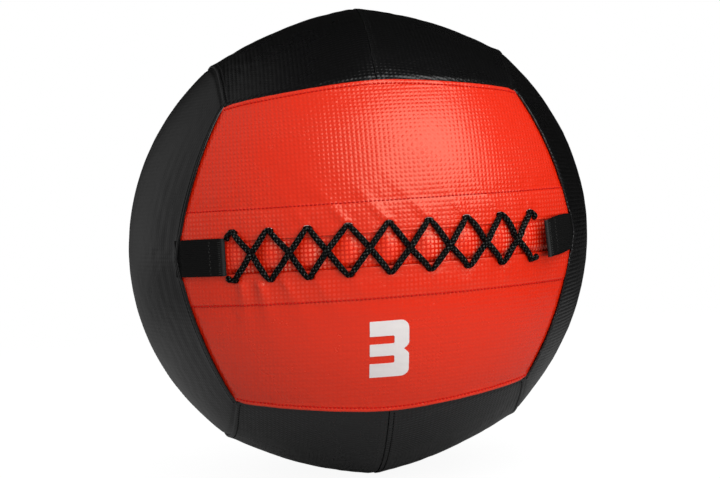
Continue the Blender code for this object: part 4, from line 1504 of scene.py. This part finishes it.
def makeNumeral():
    at = numeral
    w, h = at["width"] / 2, at["height"] / 2
    inner, middle, bar = w - at["stroke"], at["middleBar"] / 2, h - at["bar"]
    sharp, slot = at["sharp"], at["slotCorner"]
    upperHalf = [
        (w - at["notch"], 0, sharp), (w, at["shoulder"], at["shoulderRadius"]),
        (w, h, at["corner"]), (-w, h, sharp), (-w, bar, sharp),
        (inner, bar, slot), (inner, middle, slot), (-w, middle, sharp),
    ]
    lowerHalf = [(x, -y, size) for x, y, size in upperHalf[:0:-1]]
    outline = roundedOutline(upperHalf + lowerHalf, at["cornerSteps"])
    curve = bpy.data.curves.new("weight_numeral_film", "CURVE")
    curve.dimensions, curve.fill_mode = "2D", "BOTH"
    spline = curve.splines.new("POLY")
    spline.points.add(len(outline) - 1)
    spline.use_cyclic_u = True
    for point, (x, y) in zip(spline.points, outline):
        point.co = (x, y, 0, 1)
    selectOnly(addObject("weight_numeral_film", curve))
    bpy.ops.object.convert(target="MESH")
    piece = bpy.context.object
    with editing(piece):
        for normal, reach in (((1, 0, 0), w), ((0, 1, 0), h)):
            for place in np.arange(-reach + at["cell"], reach, at["cell"]):
                bpy.ops.mesh.select_all(action="SELECT")
                bpy.ops.mesh.bisect(plane_co=tuple(place * n for n in normal), plane_no=normal)
    flat = readPoints(piece) * mm
    points = onFront(flat[:, 0] + at["offset"] * mm, flat[:, 1] + at["drop"] * mm, 0)
    places, normals = castOnto(surfaceOf(shell["front_lower_panel"]), points)
    outward = unit(points - (0, 0, centreHeight))
    writePoints(piece, places + outward * at["lift"])
    if piece.data.polygons[0].normal.y > 0:
        piece.data.flip_normals()
    useModifier(piece, "SOLIDIFY", thickness=at["thickness"], offset=1)
    dress(piece, "print", "ball", finishes["print"], "weight_numeral")


makeNumeral()
print("numeral printed")


# Inside: foam, fibre, canvas and sand, each from its solid, sunk in places by its own lumps

stuffing = {
    "foam": {"cell": 5 * mm, "sink": 0.5 * mm, "lump": 40 * mm, "fill": 0.9},
    "fibre": {"cell": 6 * mm, "sink": 2.5 * mm, "lump": 22 * mm, "fill": 0.8},
    "canvas": {"cell": 4 * mm, "sink": 1.2 * mm, "lump": 18 * mm, "fill": 0.7},
    "sand": {"cell": 4 * mm, "sink": 1.5 * mm, "lump": 12 * mm, "fill": None},
}
inside = {
    "liner_upper": "foam", "liner_lower": "foam", "fill_upper": "fibre", "fill_lower": "fibre",
    "sand_bag": "canvas", "sand": "sand",
}
firstSeed = 31


def makeInside():
    for seed, (node, finish) in enumerate(inside.items(), firstSeed):
        at = stuffing[finish]
        piece = addObject(node + "_" + finish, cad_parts[node].data.copy())
        with editing(piece):
            bpy.ops.mesh.remove_doubles(threshold=touching)
        useModifier(piece, "REMESH", mode="VOXEL", voxel_size=at["cell"])
        points = readPoints(piece)
        normals = np.array([vertex.normal for vertex in piece.data.vertices])
        sunk = at["sink"] * (0.5 + 0.5 * ripple(points, at["lump"], seed))
        writePoints(piece, points - normals * sunk[:, None])
        piece.data.shade_smooth()
        dress(piece, finish, "ball", finishes[finish], node)


makeInside()
print("inside filled")
